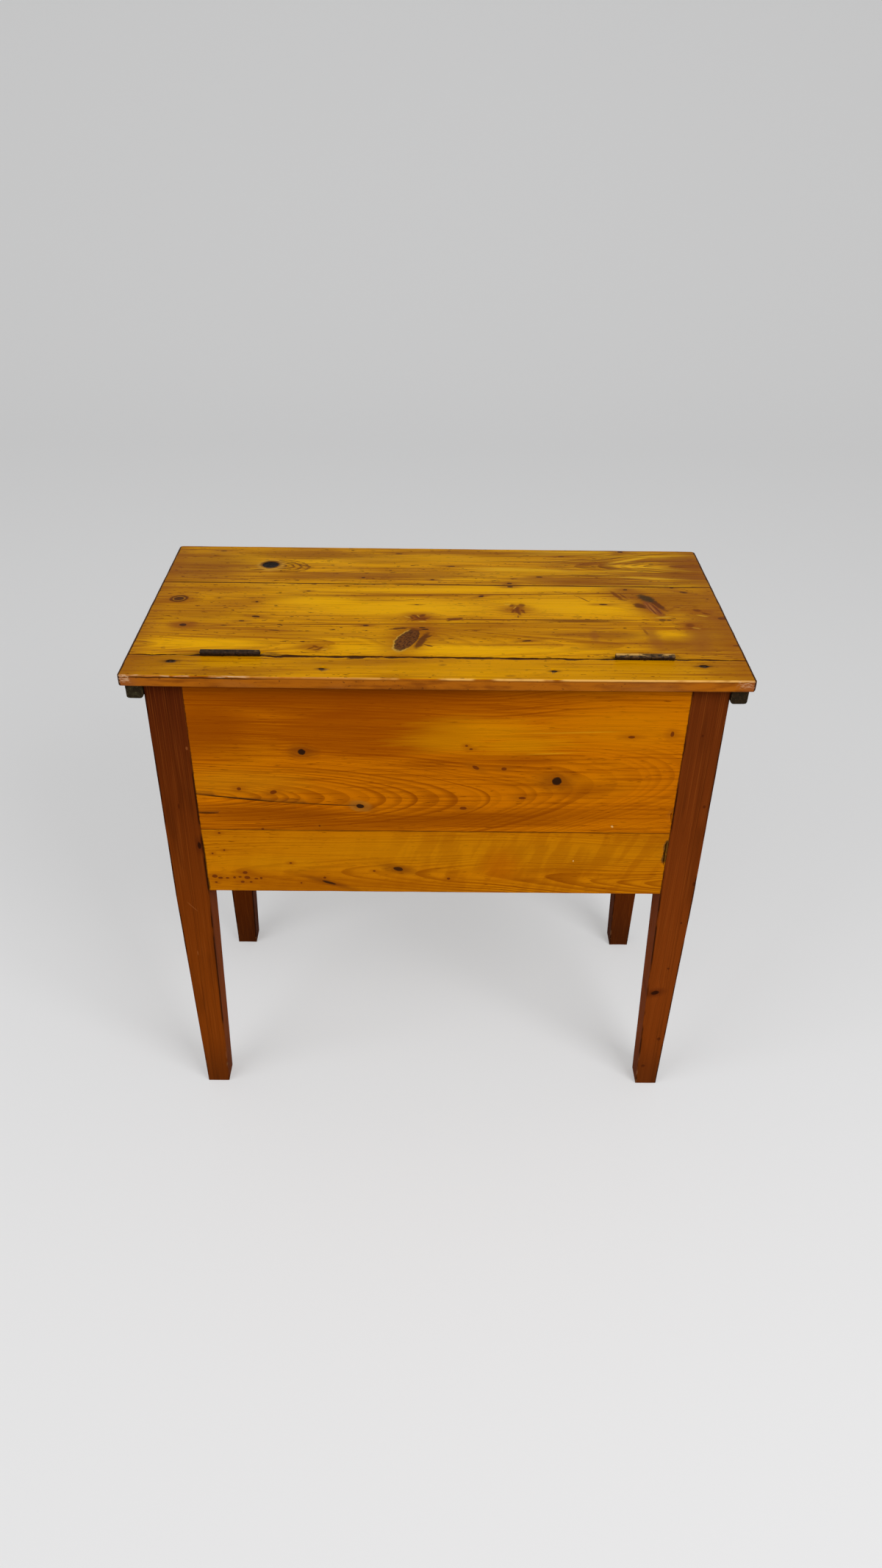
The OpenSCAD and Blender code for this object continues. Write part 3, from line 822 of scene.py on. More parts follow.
ledger_side = 20
nail_long = 5.6
nail_wide = 3
nail_thick = 2.2
nail_head = 1.2
head_sunk = 0.2
pocket_play = 0.35
pocket_extra = 0.1
ledger_low, ledger_high = corners("floor_ledger_front")
end_low, end_high = corners("floor_ledger_left")
end_middle = (end_low[1] + end_high[1]) / 2
end_long = end_high[1] - end_low[1]
long_places = [i * ledger_high[0] * 2 / 4.5 for i in (-2, -1, 0, 1, 2)]
end_places = [end_middle + i * end_long / 6 for i in (-2.5, -1.5, -0.5, 0.5, 1.5, 2.5)]
nail_step = ledger_side + 4
ledger_nail_z = ledger_low[2] + ledger_side / 3
ledger_nails = []
for seed, (node, order, facing) in enumerate((
    ("floor_ledger_front", "xyz", 1), ("floor_ledger_back", "xyz", -1),
    ("floor_ledger_left", "yxz", 1), ("floor_ledger_right", "yxz", -1),
)):
    low, high = corners(node)
    face = high if facing > 0 else low
    if order == "xyz":
        own_nails = [
            ((x + nail_step, face[1], ledger_nail_z), (0, facing, 0)) for x in long_places
        ]
    else:
        own_nails = [
            ((face[0], y + nail_step / 2, ledger_nail_z), (facing, 0, 0)) for y in end_places
        ]
    ledger_nails += own_nails
    wood = Timber(node + "_bare", order, 41 + seed)
    autumn = wood.rings((low[1] - 60, low[2] - 40), (0.01, 0), 2.6, 5)
    wood.colour = bare_pine(wood, autumn)
    saw_marks(wood, 0.4)
    ledger = worn_board(node + "_strip", order, low, high, (0.6, 0.6, 0.7, 0.7), step=20)
    carve(ledger, head_pockets(own_nails))
    material = wood.finish(autumn, wood.mottle(30, 9) * 0.2 + 0.62, 0.15, 0.12)
    fit(ledger, material, "case", node)


# Floor boards
# Three bare pine boards laid loose edge to edge on the ledgers and nailed down.
# The outer two are cut out round the legs. Years of flour and scraping have paled them.
def mirrored(near, far):
    """A span on the left of the middle and the same span on the right."""
    return (-far, -near), (near, far)


floor_play = 0.6
cut_over = 5
floor_top = corners("floor_board_front")[1][2]
floor_nails = [
    ((x, y, floor_top), (0, 0, 1)) for x in long_places
    for y in (sum(c[1] for c in corners("floor_ledger_" + row)) / 2 for row in ("front", "back"))
]
floor_nails += [
    ((side * (end_low[0] + end_high[0]) / 2, y, floor_top), (0, 0, 1))
    for side in (-1, 1) for y in end_places
]
front_leg = corners("leg_front_right")
back_leg = corners("leg_back_right")
floor_knots = {
    "floor_board_front": [(-190, -110, 16, 13), (85, -140, 10, 8), (240, -95, 13, 11)],
    "floor_board_middle": [(-60, 5, 18, 15), (190, -30, 12, 9), (-270, 30, 9, 7)],
    "floor_board_back": [(130, 95, 15, 12), (-150, 130, 11, 9)],
}
for seed, (node, knots) in enumerate(floor_knots.items()):
    low, high = corners(node)
    wood = Timber(node + "_bare", "xyz", 51 + seed)
    pith = ((low[1] + high[1]) / 2 - 12, low[2] - 30)
    autumn = wood.rings(pith, (0.02, 0.05), 3.2, 8, knots)
    wood.colour = bare_pine(wood, autumn)
    knotted(wood, knots, (92, 56, 30), (150, 104, 62))
    scraped = wood.deep.ease(floor_top - 2, floor_top - 0.4) * 0.6
    wood.cloud((206, 178, 136), scraped, (90, 40, 3), 0.4, 0.7)
    saw_marks(wood, wood.deep.ease(floor_top - 8, low[2] + 1) * 0.5)
    joint_dirt(wood, low, high, (70, 48, 30), 3)
    board = worn_board(node + "_plank", "xyz", low, high, (0.5, 0.5, 0.7, 0.7), (0.4,) * 4)
    if node != "floor_board_middle":
        notch_y = (back_leg[0][1] - floor_play, high[1] + cut_over)
        if node == "floor_board_front":
            notch_y = (low[1] - cut_over, front_leg[1][1] + floor_play)
        carve(board, blocks(*(
            ((x_low, notch_y[0], low[2] - cut_over), (x_high, notch_y[1], high[2] + cut_over))
            for x_low, x_high in mirrored(front_leg[0][0] - floor_play, high[0] + cut_over)
        )))
    carve(board, head_pockets([nail for nail in floor_nails if low[1] < nail[0][1] < high[1]]))
    relief = autumn * 0.7 + wood.mottle(50, 0.9, 3) * 0.3
    material = wood.finish(relief, wood.mottle(60, 20) * 0.2 + 0.6, 0.2, 0.12)
    fit(board, material, "case", node)


# Nails of the box floor
# Old cut nails with small oblong heads, tapered square shanks and blunt points, rusted brown.
# Each is set a little below the wood.
def rust(name, seed):
    """Brown-black iron with redder rust in patches."""
    skin = Surface(name, "xyz", seed)
    skin.colour = (44, 32, 25)
    skin.cloud((96, 54, 30), 0.7, (3, 3, 3), 0.5, 0.7)
    skin.cloud((78, 70, 62), 0.5, (1.2, 1.2, 2), 0.62, 0.72)
    return skin.finish(skin.mottle(0.9, 0.9, 3), skin.mottle(4, 4) * 0.3 + 0.5, 0.15, 0.1, 0.1)


askew_most = (0.02, 0.02, 0.12)


def maker(name, shape, *sizes):
    """A node tree that sets out fasteners. shape gives the parts of one from its named sizes,
    pointing down with the top of its head at the origin. A copy goes to every given point,
    turned as the point says and a little askew."""
    tree = bpy.data.node_groups.new(name, "GeometryNodeTree")
    kinds = {"Geometry": "Geometry", **dict.fromkeys(sizes, "Float")}
    kinds.update({"Seed": "Int", "Material": "Material"})
    for socket, kind in kinds.items():
        tree.interface.new_socket(socket, in_out="INPUT", socket_type="NodeSocket" + kind)
    tree.interface.new_socket("Geometry", in_out="OUTPUT", socket_type="NodeSocketGeometry")
    given = add_node(tree, "NodeGroupInput").outputs
    whole = add_node(tree, "GeometryNodeJoinGeometry")
    for part in shape(tree, {size: Grain(tree, given[size]) for size in sizes}):
        tree.links.new(part, whole.inputs[0])
    turn = add_node(
        tree, "GeometryNodeInputNamedAttribute", {"Name": "turn"}, data_type="FLOAT_VECTOR",
    )
    askew = add_node(tree, "FunctionNodeRandomValue", {
        0: [-turn for turn in askew_most], 1: askew_most, "Seed": given["Seed"],
    }, data_type="FLOAT_VECTOR")
    first, second = (
        add_node(tree, "FunctionNodeEulerToRotation", {"Euler": node.outputs[0]}).outputs[0]
        for node in (turn, askew)
    )
    both = add_node(
        tree, "FunctionNodeRotateRotation", {"Rotation": first, "Rotate By": second},
        rotation_space="LOCAL",
    )
    copies = add_node(tree, "GeometryNodeInstanceOnPoints", {
        "Points": given["Geometry"], "Instance": whole.outputs[0], "Rotation": both.outputs[0],
    })
    real = add_node(tree, "GeometryNodeRealizeInstances", {"Geometry": copies.outputs[0]})
    painted = add_node(tree, "GeometryNodeSetMaterial", {
        "Geometry": real.outputs[0], "Material": given["Material"],
    })
    add_node(tree, "NodeGroupOutput", {"Geometry": painted.outputs[0]})
    return tree


def set_down(tree, shape, down, *scale):
    """A part moved down from the origin, and scaled first if a scale is given."""
    links = {"Geometry": shape}
    for name, parts in (("Translation", (0.0, 0.0, down * -1.0)), ("Scale", scale)):
        if parts:
            links[name] = add_node(tree, "ShaderNodeCombineXYZ", enumerate(parts)).outputs[0]
    return add_node(tree, "GeometryNodeTransform", links).outputs[0]


def cut_nail(tree, size):
    """An oblong head of twelve sides on a square shank that tapers to a blunt point."""
    half_diagonal = 0.7071
    point_diagonal = 0.36
    head = add_node(tree, "GeometryNodeMeshCylinder", {"Vertices": 12, "Radius": 0.5, "Depth": 1.0})
    shank = add_node(tree, "GeometryNodeMeshCone", {
        "Vertices": 4, "Radius Top": half_diagonal, "Radius Bottom": point_diagonal, "Depth": 1.0,
    })
    square = add_node(tree, "GeometryNodeTransform", {
        "Geometry": shank.outputs["Mesh"], "Rotation": (0, 0, math.pi / 4),
    })
    thick = size["Head thick"]
    return (
        set_down(tree, head.outputs["Mesh"], thick * 0.5, size["Head long"], size["Head wide"], thick),
        set_down(
            tree, square.outputs[0], size["Length"],
            size["Shank wide"], size["Shank thick"], size["Length"] - thick,
        ),
    )


def driven(name, tree, places, **sizes):
    """Runs a tree over a list of (place, outward direction) and keeps the result as a plain mesh."""
    mesh = bpy.data.meshes.new(name)
    mesh.from_pydata([Vector(place) * MM for place, out in places], [], [])
    turns = mesh.attributes.new("turn", "FLOAT_VECTOR", "POINT")
    for turn, (place, out) in zip(turns.data, places):
        up = Vector(out)
        side = Vector((0, 1, 0)) if out[0] else Vector((1, 0, 0))
        turn.vector = Matrix((side, up.cross(side), up)).transposed().to_euler()
    points = put(name + "_points", mesh)
    modifier = points.modifiers.new("set out", "NODES")
    modifier.node_group = tree
    for item in tree.interface.items_tree:
        if item.in_out == "INPUT" and item.name in sizes:
            modifier[item.identifier] = sizes[item.name]
    made = bpy.data.meshes.new_from_object(
        points.evaluated_get(bpy.context.evaluated_depsgraph_get())
    )
    made.name = name
    points.modifiers.remove(modifier)
    bpy.data.objects.remove(points)
    return put(name, made)


nail_sizes = {
    "Head long": nail_long * MM, "Head wide": 1.25 * nail_thick * MM, "Head thick": nail_head * MM,
    "Shank wide": nail_wide * MM, "Shank thick": nail_thick * MM,
}
nail_maker = maker("cut_nails", cut_nail, "Length", *nail_sizes)


def nail_row(name, node, nails, length, seed):
    """The nails of one kind, as one piece on the case."""
    sunk = [
        (tuple(p - o * head_sunk for p, o in zip(place, out)), out) for place, out in nails
    ]
    iron = rust(name + "_rust", seed)
    row = driven(
        name, nail_maker, sunk, Length=(length - head_sunk) * MM, Seed=seed, Material=iron,
        **nail_sizes,
    )
    fit(row, iron, "case", node)


floor_thick = 14
short_of_face = 8
short_of_ledger = 4
nail_row(
    "ledger_cut_nails", "ledger_nails", ledger_nails, ledger_side + panel_t - short_of_face, 61,
)
nail_row(
    "floor_cut_nails", "floor_nails", floor_nails, floor_thick + ledger_side - short_of_ledger, 62,
)


# Fixed rail
# The front board of the top, waxed yellow pine, nailed down to the legs and the front panel.
# Its front edge is redder, paler along the arris partly from wear and partly as a painted highlight,
# and chipped; the nail heads have bled.
def waxed(wood, autumn, bold=0.7):
    """Waxed yellow pine: ochre grain, amber clouds, fine fibres and short dark flecks."""
    wood.colour = wood.mix((222, 154, 0), (152, 84, 0), autumn * bold)
    wood.cloud((236, 172, 0), 0.5, (230, 60), 0.48, 0.72)
    wood.cloud((156, 88, 2), 0.5, (180, 48, 3), 0.5, 0.72)
    wood.cloud((146, 78, 0), 0.6, (190, 6, 3), 0.5, 0.66)
    wood.cloud((120, 60, 0), 0.6, (80, 2.6, 3), 0.56, 0.7)
    wood.cloud((74, 32, 0), 0.85, (12, 3, 2), 0.645, 0.68)


def worn_ends(wood, low, high):
    """The cut ends of a top board, which have soaked up more stain than its face."""
    gap = (wood.along - low[0]).work("MINIMUM", wood.along * -1 + high[0])
    gap = gap + (wood.mottle(8, 14) - 0.5) * 2
    wood.lay((142, 76, 12), gap.ease(34, 4) * 0.45)
    wood.lay((44, 20, 8), gap.ease(3.6, 2.4) * 0.92)


def broken_seam(wood, from_seam, reach):
    """Lays a dark band along the open seam, partly broken wood and dirt and partly painted shade
    inside the opening: up to reach between the hinges, and a thin line beyond. from_seam is the
    distance from the seam's own edge."""
    between = wood.along.work("ABSOLUTE").ease(seam_sound, seam_broken, 1.6, reach)
    broken = wood.around((-97, seam_middle, 34, 14), (-203, seam_middle, 40, 10), ragged=0.9)
    between = between + broken.ease(1.4, 0.4, 0, reach)
    ragged = wood.mottle(26, 900, 4).ease(0.3, 0.7, 0.2, 1.4)
    crack = (from_seam - between * ragged).ease(0.5, -0.5)
    # Painted shade: this dark band stands partly for the shade inside the open seam.
    wood.lay((44, 13, 4), crack * 0.95)
    return crack


def top_board(board, wood, autumn, dug, gloss_size, body, node):
    """Ends a board of the top: its underside was never waxed. dug is how far its cracks sink."""
    underside = corners(node)[0][2]
    wood.lay(bare_pine(wood, autumn), wood.deep.ease(underside + 0.5, underside + 0.1))
    relief = autumn * 0.5 + wood.mottle(70, 1.4, 3) * 0.5 - dug
    material = wood.finish(relief, wood.mottle(*gloss_size) * 0.22 + 0.28, 0.14)
    fit(board, material, body, node)


def round_corner(place, corner_x, corner_y, radius):
    """Draws a place near an upright corner of the top in, so that the corner is round."""
    out_x = math.copysign(1, corner_x)
    out_y = math.copysign(1, corner_y)
    u = (place.x - corner_x) * out_x + radius
    v = (place.y - corner_y) * out_y + radius
    if u > 0 and v > 0:
        share = max(u, v) / math.hypot(u, v)
        place.x = corner_x + out_x * (u * share - radius)
        place.y = corner_y + out_y * (v * share - radius)


def bow_rail(place):
    """The rail's front corners are round, and its front edge is fuller in the middle."""
    for end_x in (rail_low[0], rail_high[0]):
        round_corner(place, end_x, rail_low[1], front_corner)
    near_front = min(1.0, max(0.0, (bow_from - place.y) / bow_over))
    place.y -= rail_bow * near_front * (1 - (place.x / rail_high[0]) ** 2)
    return place


def leaf_pockets(edge, inward):
    """What is cut from the edge of a board of the top for the two hinges' leaves."""
    y_low, y_high = sorted((edge + inward * leaf_thick, edge - inward * pocket_over))
    return blocks(*(
        ((x_low, y_low, leaf_low[2]), (x_high, y_high, top_z + pocket_over))
        for x_low, x_high in mirrored(leaf_low[0], leaf_high[0])
    ))


rail_low, rail_high = corners("fixed_rail")
wide_low, wide_high = corners("lid_board_wide")
leaf_low, leaf_high = corners("hinge_fixed_leaf_right")
leaf_thick = 1.8
pocket_over = 2
top_z = rail_high[2]
seam_middle = (rail_high[1] + wide_low[1]) / 2
seam_sound = 232
seam_broken = 214
rail_bow = 2.6
bow_from = -172
bow_over = 30
front_corner = 3.5
rail_bite = 34

# Each nail's place, over the legs and over the front panel, and how much it has bled.
nail_spots = [
    (side * x, y, share)
    for x, y, share in ((340.7, -170.45, 1), (147.352, -187.5, 0.62)) for side in (-1, 1)
]
rail_nails = [((x, y, top_z), (0, 0, 1)) for x, y, share in nail_spots]
wood = Timber("fixed_rail_wax", "xyz", 71)
autumn = wood.rings((-330, 640), (0.012, 0.02), 3.0, 6, [(-250, -200, 26, 14)])
waxed(wood, autumn)
# Pale yellow figure in the wax, partly painted sheen of the finish.
wood.patch((216, 150, 0), 0.6, (20, -182, 360, 40), (290, -176, 150, 24))
wood.lay((134, 72, 0), wood.along.work("ABSOLUTE").ease(120, 330) * 0.22)
wood.patch((146, 82, 8), 0.5, (372, -180, 60, 80), (-385, -176, 100, 60))
wood.patch((144, 80, 8), 0.45, (-90, -168, 160, 14, 3), (-250, -196, 120, 20))
wood.patch((120, 62, 10), 0.5, (6, -174, 9, 5, 10), (92, -201, 12, 4))
outward = wood.along * (1 / rail_high[0])
from_front = wood.across + (outward * outward * -rail_bow + (rail_bow - rail_low[1]))
front_face = from_front.ease(1.6, 0.6)
edge_red = (172, 96, 17)
for tone, amount in (
    ((122, 60, 13), wood.mottle(34, 7, 4).ease(0.42, 0.7) * 0.7),
    ((158, 92, 34), wood.mottle(120, 30).ease(0.5, 0.7) * 0.6),
    ((66, 34, 16), wood.mottle(5, 3, 2).ease(0.66, 0.74) * 0.6),
    ((154, 92, 58), wood.along.ease(-372, -398) * 0.7),
    ((152, 84, 52), wood.along.ease(374, 398) * 0.7),
):
    edge_red = wood.mix(edge_red, tone, amount)
wood.lay(edge_red, front_face)
# Painted highlight: the front arris is painted paler, partly rubbed wear and partly the light it
# catches.
arris_band = from_front.slant(wood.deep * -1 + top_z).ease(2.7, 1.2)
paled_edge = arris_band * wood.along.ease(-160, 60, 0.3, 1) * 0.75
wood.cloud((238, 184, 100), paled_edge, (60, 60, 3), 0.36, 0.5)
wavy = wood.deep + (wood.mottle(34, 34, 3) - 0.5) * 4
dark_split = wavy.ease(top_z - 4.4, top_z - 3.4) * wavy.ease(top_z - 1.4, top_z - 2.2)
dark_split = dark_split * front_face * wood.along.ease(-180, -270, 0.3, 1)
wood.lay((48, 24, 12), dark_split * 0.85)
chips = wood.around(
    (-262, rail_low[1], 44, 40), (-320, rail_low[1], 18, 40), (-341, rail_low[1], 11, 40),
    (-379, rail_low[1], 9, 40), (-398, rail_low[1], 16, 60), ragged=0.4,
)
fresh = arris_band * chips.ease(1.3, 0.7) * wood.along.ease(-315, -285, 0.5, 0.85)
wood.cloud((210, 172, 130), fresh, (16, 2, 3), 0.46, 0.58)
for tone, amount, length, width, tilt, edge, ragged in (
    ((124, 70, 10), 0.5, 26, 12, 4, 0.7, 0.5),
    ((76, 38, 8), 0.75, 25, 3.4, 2, 0.5, 0.5),
    ((26, 13, 8), 0.95, 13, 8, 0, 0.25, 0.3),
):
    bled = [(x, y, length * share, width * share, tilt) for x, y, share in nail_spots]
    wood.patch(tone, amount, *bled, edge=edge, ragged=ragged)
crack = broken_seam(wood, wood.across * -1 + rail_high[1], 2.9)
worn_ends(wood, rail_low, rail_high)
scuffs = wood.around((-393, rail_low[1], 16, 40), (388, rail_low[1], 24, 40), ragged=0.9)
scuffs = scuffs.ease(1.2, 0.7) * front_face * wood.deep.ease(rail_low[2] + 4, rail_low[2] + 7)
scuffs = scuffs * wood.along.ease(-300, 300, 0.75, 0.45)
wood.cloud((206, 162, 122), scuffs, (6, 2, 3), 0.44, 0.58)
rail = worn_board(
    "fixed_rail_board", "xyz", rail_low, rail_high, (2.0, 2.2, 1.9, 0.6), (1.4, 3.0, 1.1, 0.5),
    step=9, dips=0.18, wear=0.5, shape=bow_rail, corner=front_corner + 1,
)
carve(rail, head_pockets(rail_nails))
carve(rail, leaf_pockets(rail_high[1], -1))
top_board(rail, wood, autumn, crack * 3, (60, 25), "case", "fixed_rail")
nail_row("rail_cut_nails", "rail_nails", rail_nails, top_z - rail_low[2] + rail_bite, 63)


# Rail cleats
# A short square bar of nearly black old timber under each end of the rail, nailed up into it.
# Only its front end shows. The lower edges are chamfered.
def black_cleat(node, body, seed, hue, grey, holes):
    """A worn bar along Y with its two lower edges chamfered and dusty blotches on it."""
    low, high = corners(node)
    middle = (low[0] + high[0]) / 2
    half = (high[0] - low[0]) / 2

    def chamfered(place):
        lift = max(0.0, abs(place.x - middle) - (half - chamfer)) - max(0.0, place.z - low[2])
        if lift > 0:
            place.x -= math.copysign(lift / 2, place.x - middle)
            place.z += lift / 2
        return place

    bar = worn_board(
        node + "_bar", "yxz", low, high, (1.2, 1.2, 0.5, 0.5), (1.6, 1.6, 1.2, 1.2),
        step=2.5, dips=0.3, wear=0.9, shape=chamfered,
    )
    carve(bar, holes)
    wood = Timber(node + "_black", "yxz", seed)
    wood.colour = wood.mix(
        (30, 24, 18), (20, 15, 11), wood.rings((low[0] - 20, low[2] - 14), (0, 0.02), 2.2, 3),
    )
    wood.cloud(hue, 0.8, (7, 6, 4), 0.44, 0.66)
    wood.cloud(grey, 0.6, (2.4, 2, 3), 0.6, 0.72)
    worn = wood.near_arris(low, high).ease(1.8, 0.4)
    wood.cloud((84, 70, 50), worn * 0.7, (9, 9, 3), 0.48, 0.64)
    relief = wood.mottle(12, 1.0, 4) * 0.7 + wood.mottle(3, 3, 3) * 0.3
    material = wood.finish(relief, wood.mottle(20, 8) * 0.2 + 0.55, 0.35, 0.18)
    fit(bar, material, body, node)


def along_cleat(node, readings):
    """Places for nails or screws under a cleat, each with its outward direction."""
    low, high = corners(node)
    return [(((low[0] + high[0]) / 2, y, low[2]), (0, 0, -1)) for y in readings]


chamfer = 3.5
cleat_tones = {"left": ((52, 48, 32), (92, 84, 58)), "right": ((46, 32, 22), (82, 60, 40))}
cleat_low, cleat_high = corners("rail_cleat_left")
short_of_top = 4
through_cleat = cleat_high[2] - cleat_low[2] + top_z - rail_low[2] - short_of_top
cleat_nails = []
for seed, (side, tones) in enumerate(cleat_tones.items()):
    node = "rail_cleat_" + side
    own_nails = along_cleat(
        node, [cleat_low[1] + share * (rail_high[1] - cleat_low[1]) for share in (0.3, 0.72)],
    )
    cleat_nails += own_nails
    black_cleat(node, "case", 81 + seed, *tones, head_pockets(own_nails))
nail_row("rail_cleat_cut_nails", "rail_cleat_nails", cleat_nails, through_cleat, 64)


# Lid boards
# Two boards of waxed yellow pine glued edge to edge, level with the rail and cleated below.
# The front one has big red-brown knots; the back one is coarser grained at its right end.
glue_brown = (62, 28, 4)
brown_knots = [
    (-345, -67, 10, 8), (-250, -39, 11, 5, -8), (-268, -53, 8, 3), (-98, -63, 8, 4),
    (234, 11, 12, 4), (272, 62, 7, 4), (394, -30, 12, 8), (118, -104, 12, 4, 10),
    (310, -37, 10, 4), (319, -37, 8, 3), (396, -112, 10, 3), (105, 68, 9, 5), (-17, -73, 9, 4),
    (-290, -67, 9, 2), (-220, -80, 14, 2, -4), (-310, 20, 4, 2), (-255, 8, 4, 4), (-186, 46, 6, 3),
    (356, 55, 12, 4, -20), (-21, -68, 9, 3), (341, 71, 6, 5), (-30, 4, 6, 2), (62, 34, 9, 4, 20),
]
feathers = [
    (-32, -31, 10, 5, -30), (-22, -31, 13, 6, 40), (-17, -40, 9, 4), (-32, -45, 11, 3, 30),
    (-27, -38, 15, 5, -50), (-20, -42, 11, 4, -45), (-36, -38, 8, 3, -60),
    (22, -41, 16, 7, 20), (16, -40, 9, 4, -20), (30, -39, 8, 4, 30),
    (104, 4, 11, 6, 60), (118, 6, 9, 9), (111, -8, 16, 6, 80), (113, -20, 13, 5, -80),
    (105, -14, 11, 4, 70), (119, -14, 12, 4, -70), (111, -31, 8, 3, 90),
    (-166, -131, 10, 4, 30), (-160, -127, 9, 5, -40), (-154, -131, 9, 4, 50), (-159, -136, 11, 3),
    (364, -5, 13, 8, -20), (374, -15, 12, 5, -30), (257, 41, 32, 6, -65), (266, 40, 20, 3, -62),
    (209, 27, 18, 2.6, -50), (345, -53, 13, 12), (346, -62, 9, 3),
]
pale_feathers = [
    (-42, -36, 10, 3, -30), (-21, -49, 10, 3), (-27, -33, 8, 2, -60), (98, 8, 8, 4),
    (108, -2, 9, 2, 60), (-148, -134, 9, 3, 20), (368, -22, 16, 4, -20), (352, -61, 12, 4, -20),
    (312, -28, 26, 4, 10),
]
wide_pushes = [
    (-27, -37, 20, 14), (-38, -103, 60, 27), (111, -8, 20, 14), (300, 8, 46, 22),
    (-365, 16, 22, 16), (345, -55, 16, 14), (-159, -130, 20, 14), (365, -8, 20, 14),
]
wood = Timber("lid_board_wide_wax", "xyz", 72)
autumn = wood.rings((-118, 716), (0.014, -0.055), 2.9, 9, wide_pushes)
waxed(wood, autumn)
# Pale yellow figure in the wax, partly painted sheen of the finish.
wood.patch(
    (242, 176, 0), 0.8, (-60, -8, 250, 46), (195, 0, 190, 48, -4), (-165, 10, 130, 30),
    (310, -85, 120, 26), (60, 58, 420, 20, 2.4), (30, -132, 330, 24), (-300, -120, 150, 26),
)
wood.patch(
    (150, 82, 0), 0.45, (-330, -30, 140, 60), (-320, 52, 170, 30), (110, -60, 300, 18, 2),
    (-190, -95, 200, 18, 3), (-60, 34, 240, 10, 2), (60, -84, 210, 36),
)
wood.patch(
    (136, 72, 8), 0.7, (340, 24, 130, 80), (376, -60, 80, 190), (283, 42, 84, 46, -20),
    (330, -112, 120, 46), (226, -84, 130, 22),
)
wood.patch(
    (108, 54, 2), 0.75, line(-289, -67, 161, -49, 2.6), line(-179, 30, 330, 51, 3),
    line(-10, -42, 300, -38, 3.4), line(150, -44, 240, -42, 8), edge=0.5,
)
wood.patch(
    (150, 80, 4), 0.7, (-36, -100, 100, 58, 66), (300, 4, 60, 40, -70), (111, -8, 44, 26),
    (-27, -34, 44, 26), (-159, -130, 40, 18), (366, -9, 40, 20), (345, -55, 30, 24),
    (-345, -67, 34, 22), (-366, 16, 50, 34),
)
wood.patch(
    (128, 62, 2), 0.65, (111, -7, 15, 26), (-26, -38, 26, 16), (24, -41, 18, 8),
    edge=0.5, ragged=1.5,
)
wood.patch(
    (88, 40, 8), 0.85, (-22, -108, 48, 10, 72), (-52, -71, 26, 6, 10), (-30, -74, 20, 8),
    (-14, -96, 16, 3, 40), (-13, -120, 14, 3, -30), line(301, 34, 320, -8, 9),
    (286, 8, 20, 14, -30), edge=0.35, ragged=1.2,
)
ringed_knot = wood.around((-366, 16, 23, 19, 20), ragged=0.4)
wood.lay((92, 44, 2), ringed_knot.ease(1.3, 1.0) * 0.92)
wood.lay((176, 116, 18), ringed_knot.ease(0.82, 0.72) * 0.85)
wood.lay((70, 32, 4), ringed_knot.ease(0.66, 0.56) * 0.92)
heart = wood.around((-41, -104, 60, 25, 69), ragged=0.4)
wood.lay((204, 158, 62), heart.ease(1.26, 1.14) * wood.along.ease(-34, -44) * 0.7)
wood.lay((78, 42, 16), heart.ease(1.1, 1.0) * 0.9)
knot_wood = wood.mix((116, 66, 22), (70, 36, 12), wood.mottle(5, 3, 3, 66).ease(0.42, 0.6))
wood.lay(knot_wood, heart.ease(1.0, 0.8) * 0.9)
wood.patch((136, 72, 28), 0.9, line(293, 24, 312, -24, 15), edge=0.3, ragged=0.7)
wood.patch(
    (180, 116, 48), 0.7, line(299, 14, 306, -14, 2.4), line(294, 14, 302, -18, 2),
    edge=0.4, ragged=0.7,
)
wood.patch(
    (92, 42, 16), 0.8, line(303, 14, 312, -18, 2.2), line(296, 8, 304, -18, 1.8),
    edge=0.4, ragged=0.7,
)
wood.patch((66, 46, 20), 0.92, (298, 33, 28, 18, -48), edge=0.4, ragged=1.1)
wood.patch((108, 48, 4), 0.75, *feathers, edge=0.45, ragged=1.2)
wood.patch((218, 166, 44), 0.6, *pale_feathers, edge=0.4, ragged=0.8)
knotted(wood, brown_knots, (64, 32, 12), (144, 78, 10))
wood.patch(
    (144, 80, 22), 0.6, (289, -92, 18, 70, 6), (350, -95, 32, 74, -5), (210, -88, 10, 30),
    edge=0.8, ragged=1.1,
)
wood.patch((120, 62, 10), 0.6, (281, -74, 4, 16, 12), (226, -66, 30, 3, 6), edge=0.4)
crack = broken_seam(wood, wood.across - wide_low[1], 1.4)
smudges = [(sum(span) / 2, wide_low[1], 106, 12) for span in mirrored(leaf_low[0], leaf_high[0])]
smudges += [line(-222, -146, -206, -146.5, 3), line(-226, -150, -190, -151, 2.6)]
wood.patch((50, 28, 12), 0.7, *smudges)
glued = wood.across.ease(wide_high[1] - 2.4, wide_high[1] - 1.4)
wood.cloud(glue_brown, glued * 0.9, (60, 4, 3), 0.26, 0.4)
worn_ends(wood, wide_low, wide_high)
wide_board = worn_board(
    "lid_board_wide_board", "xyz", wide_low, wide_high, (1.9, 1.9, 0.9, 0.35), (1.4, 1.4, 0.6, 0.3),
    dips=0.16, wear=0.5,
)
carve(wide_board, leaf_pockets(wide_low[1], 1))
top_board(wide_board, wood, autumn, crack * 3, (80, 30), "lid", "lid_board_wide")

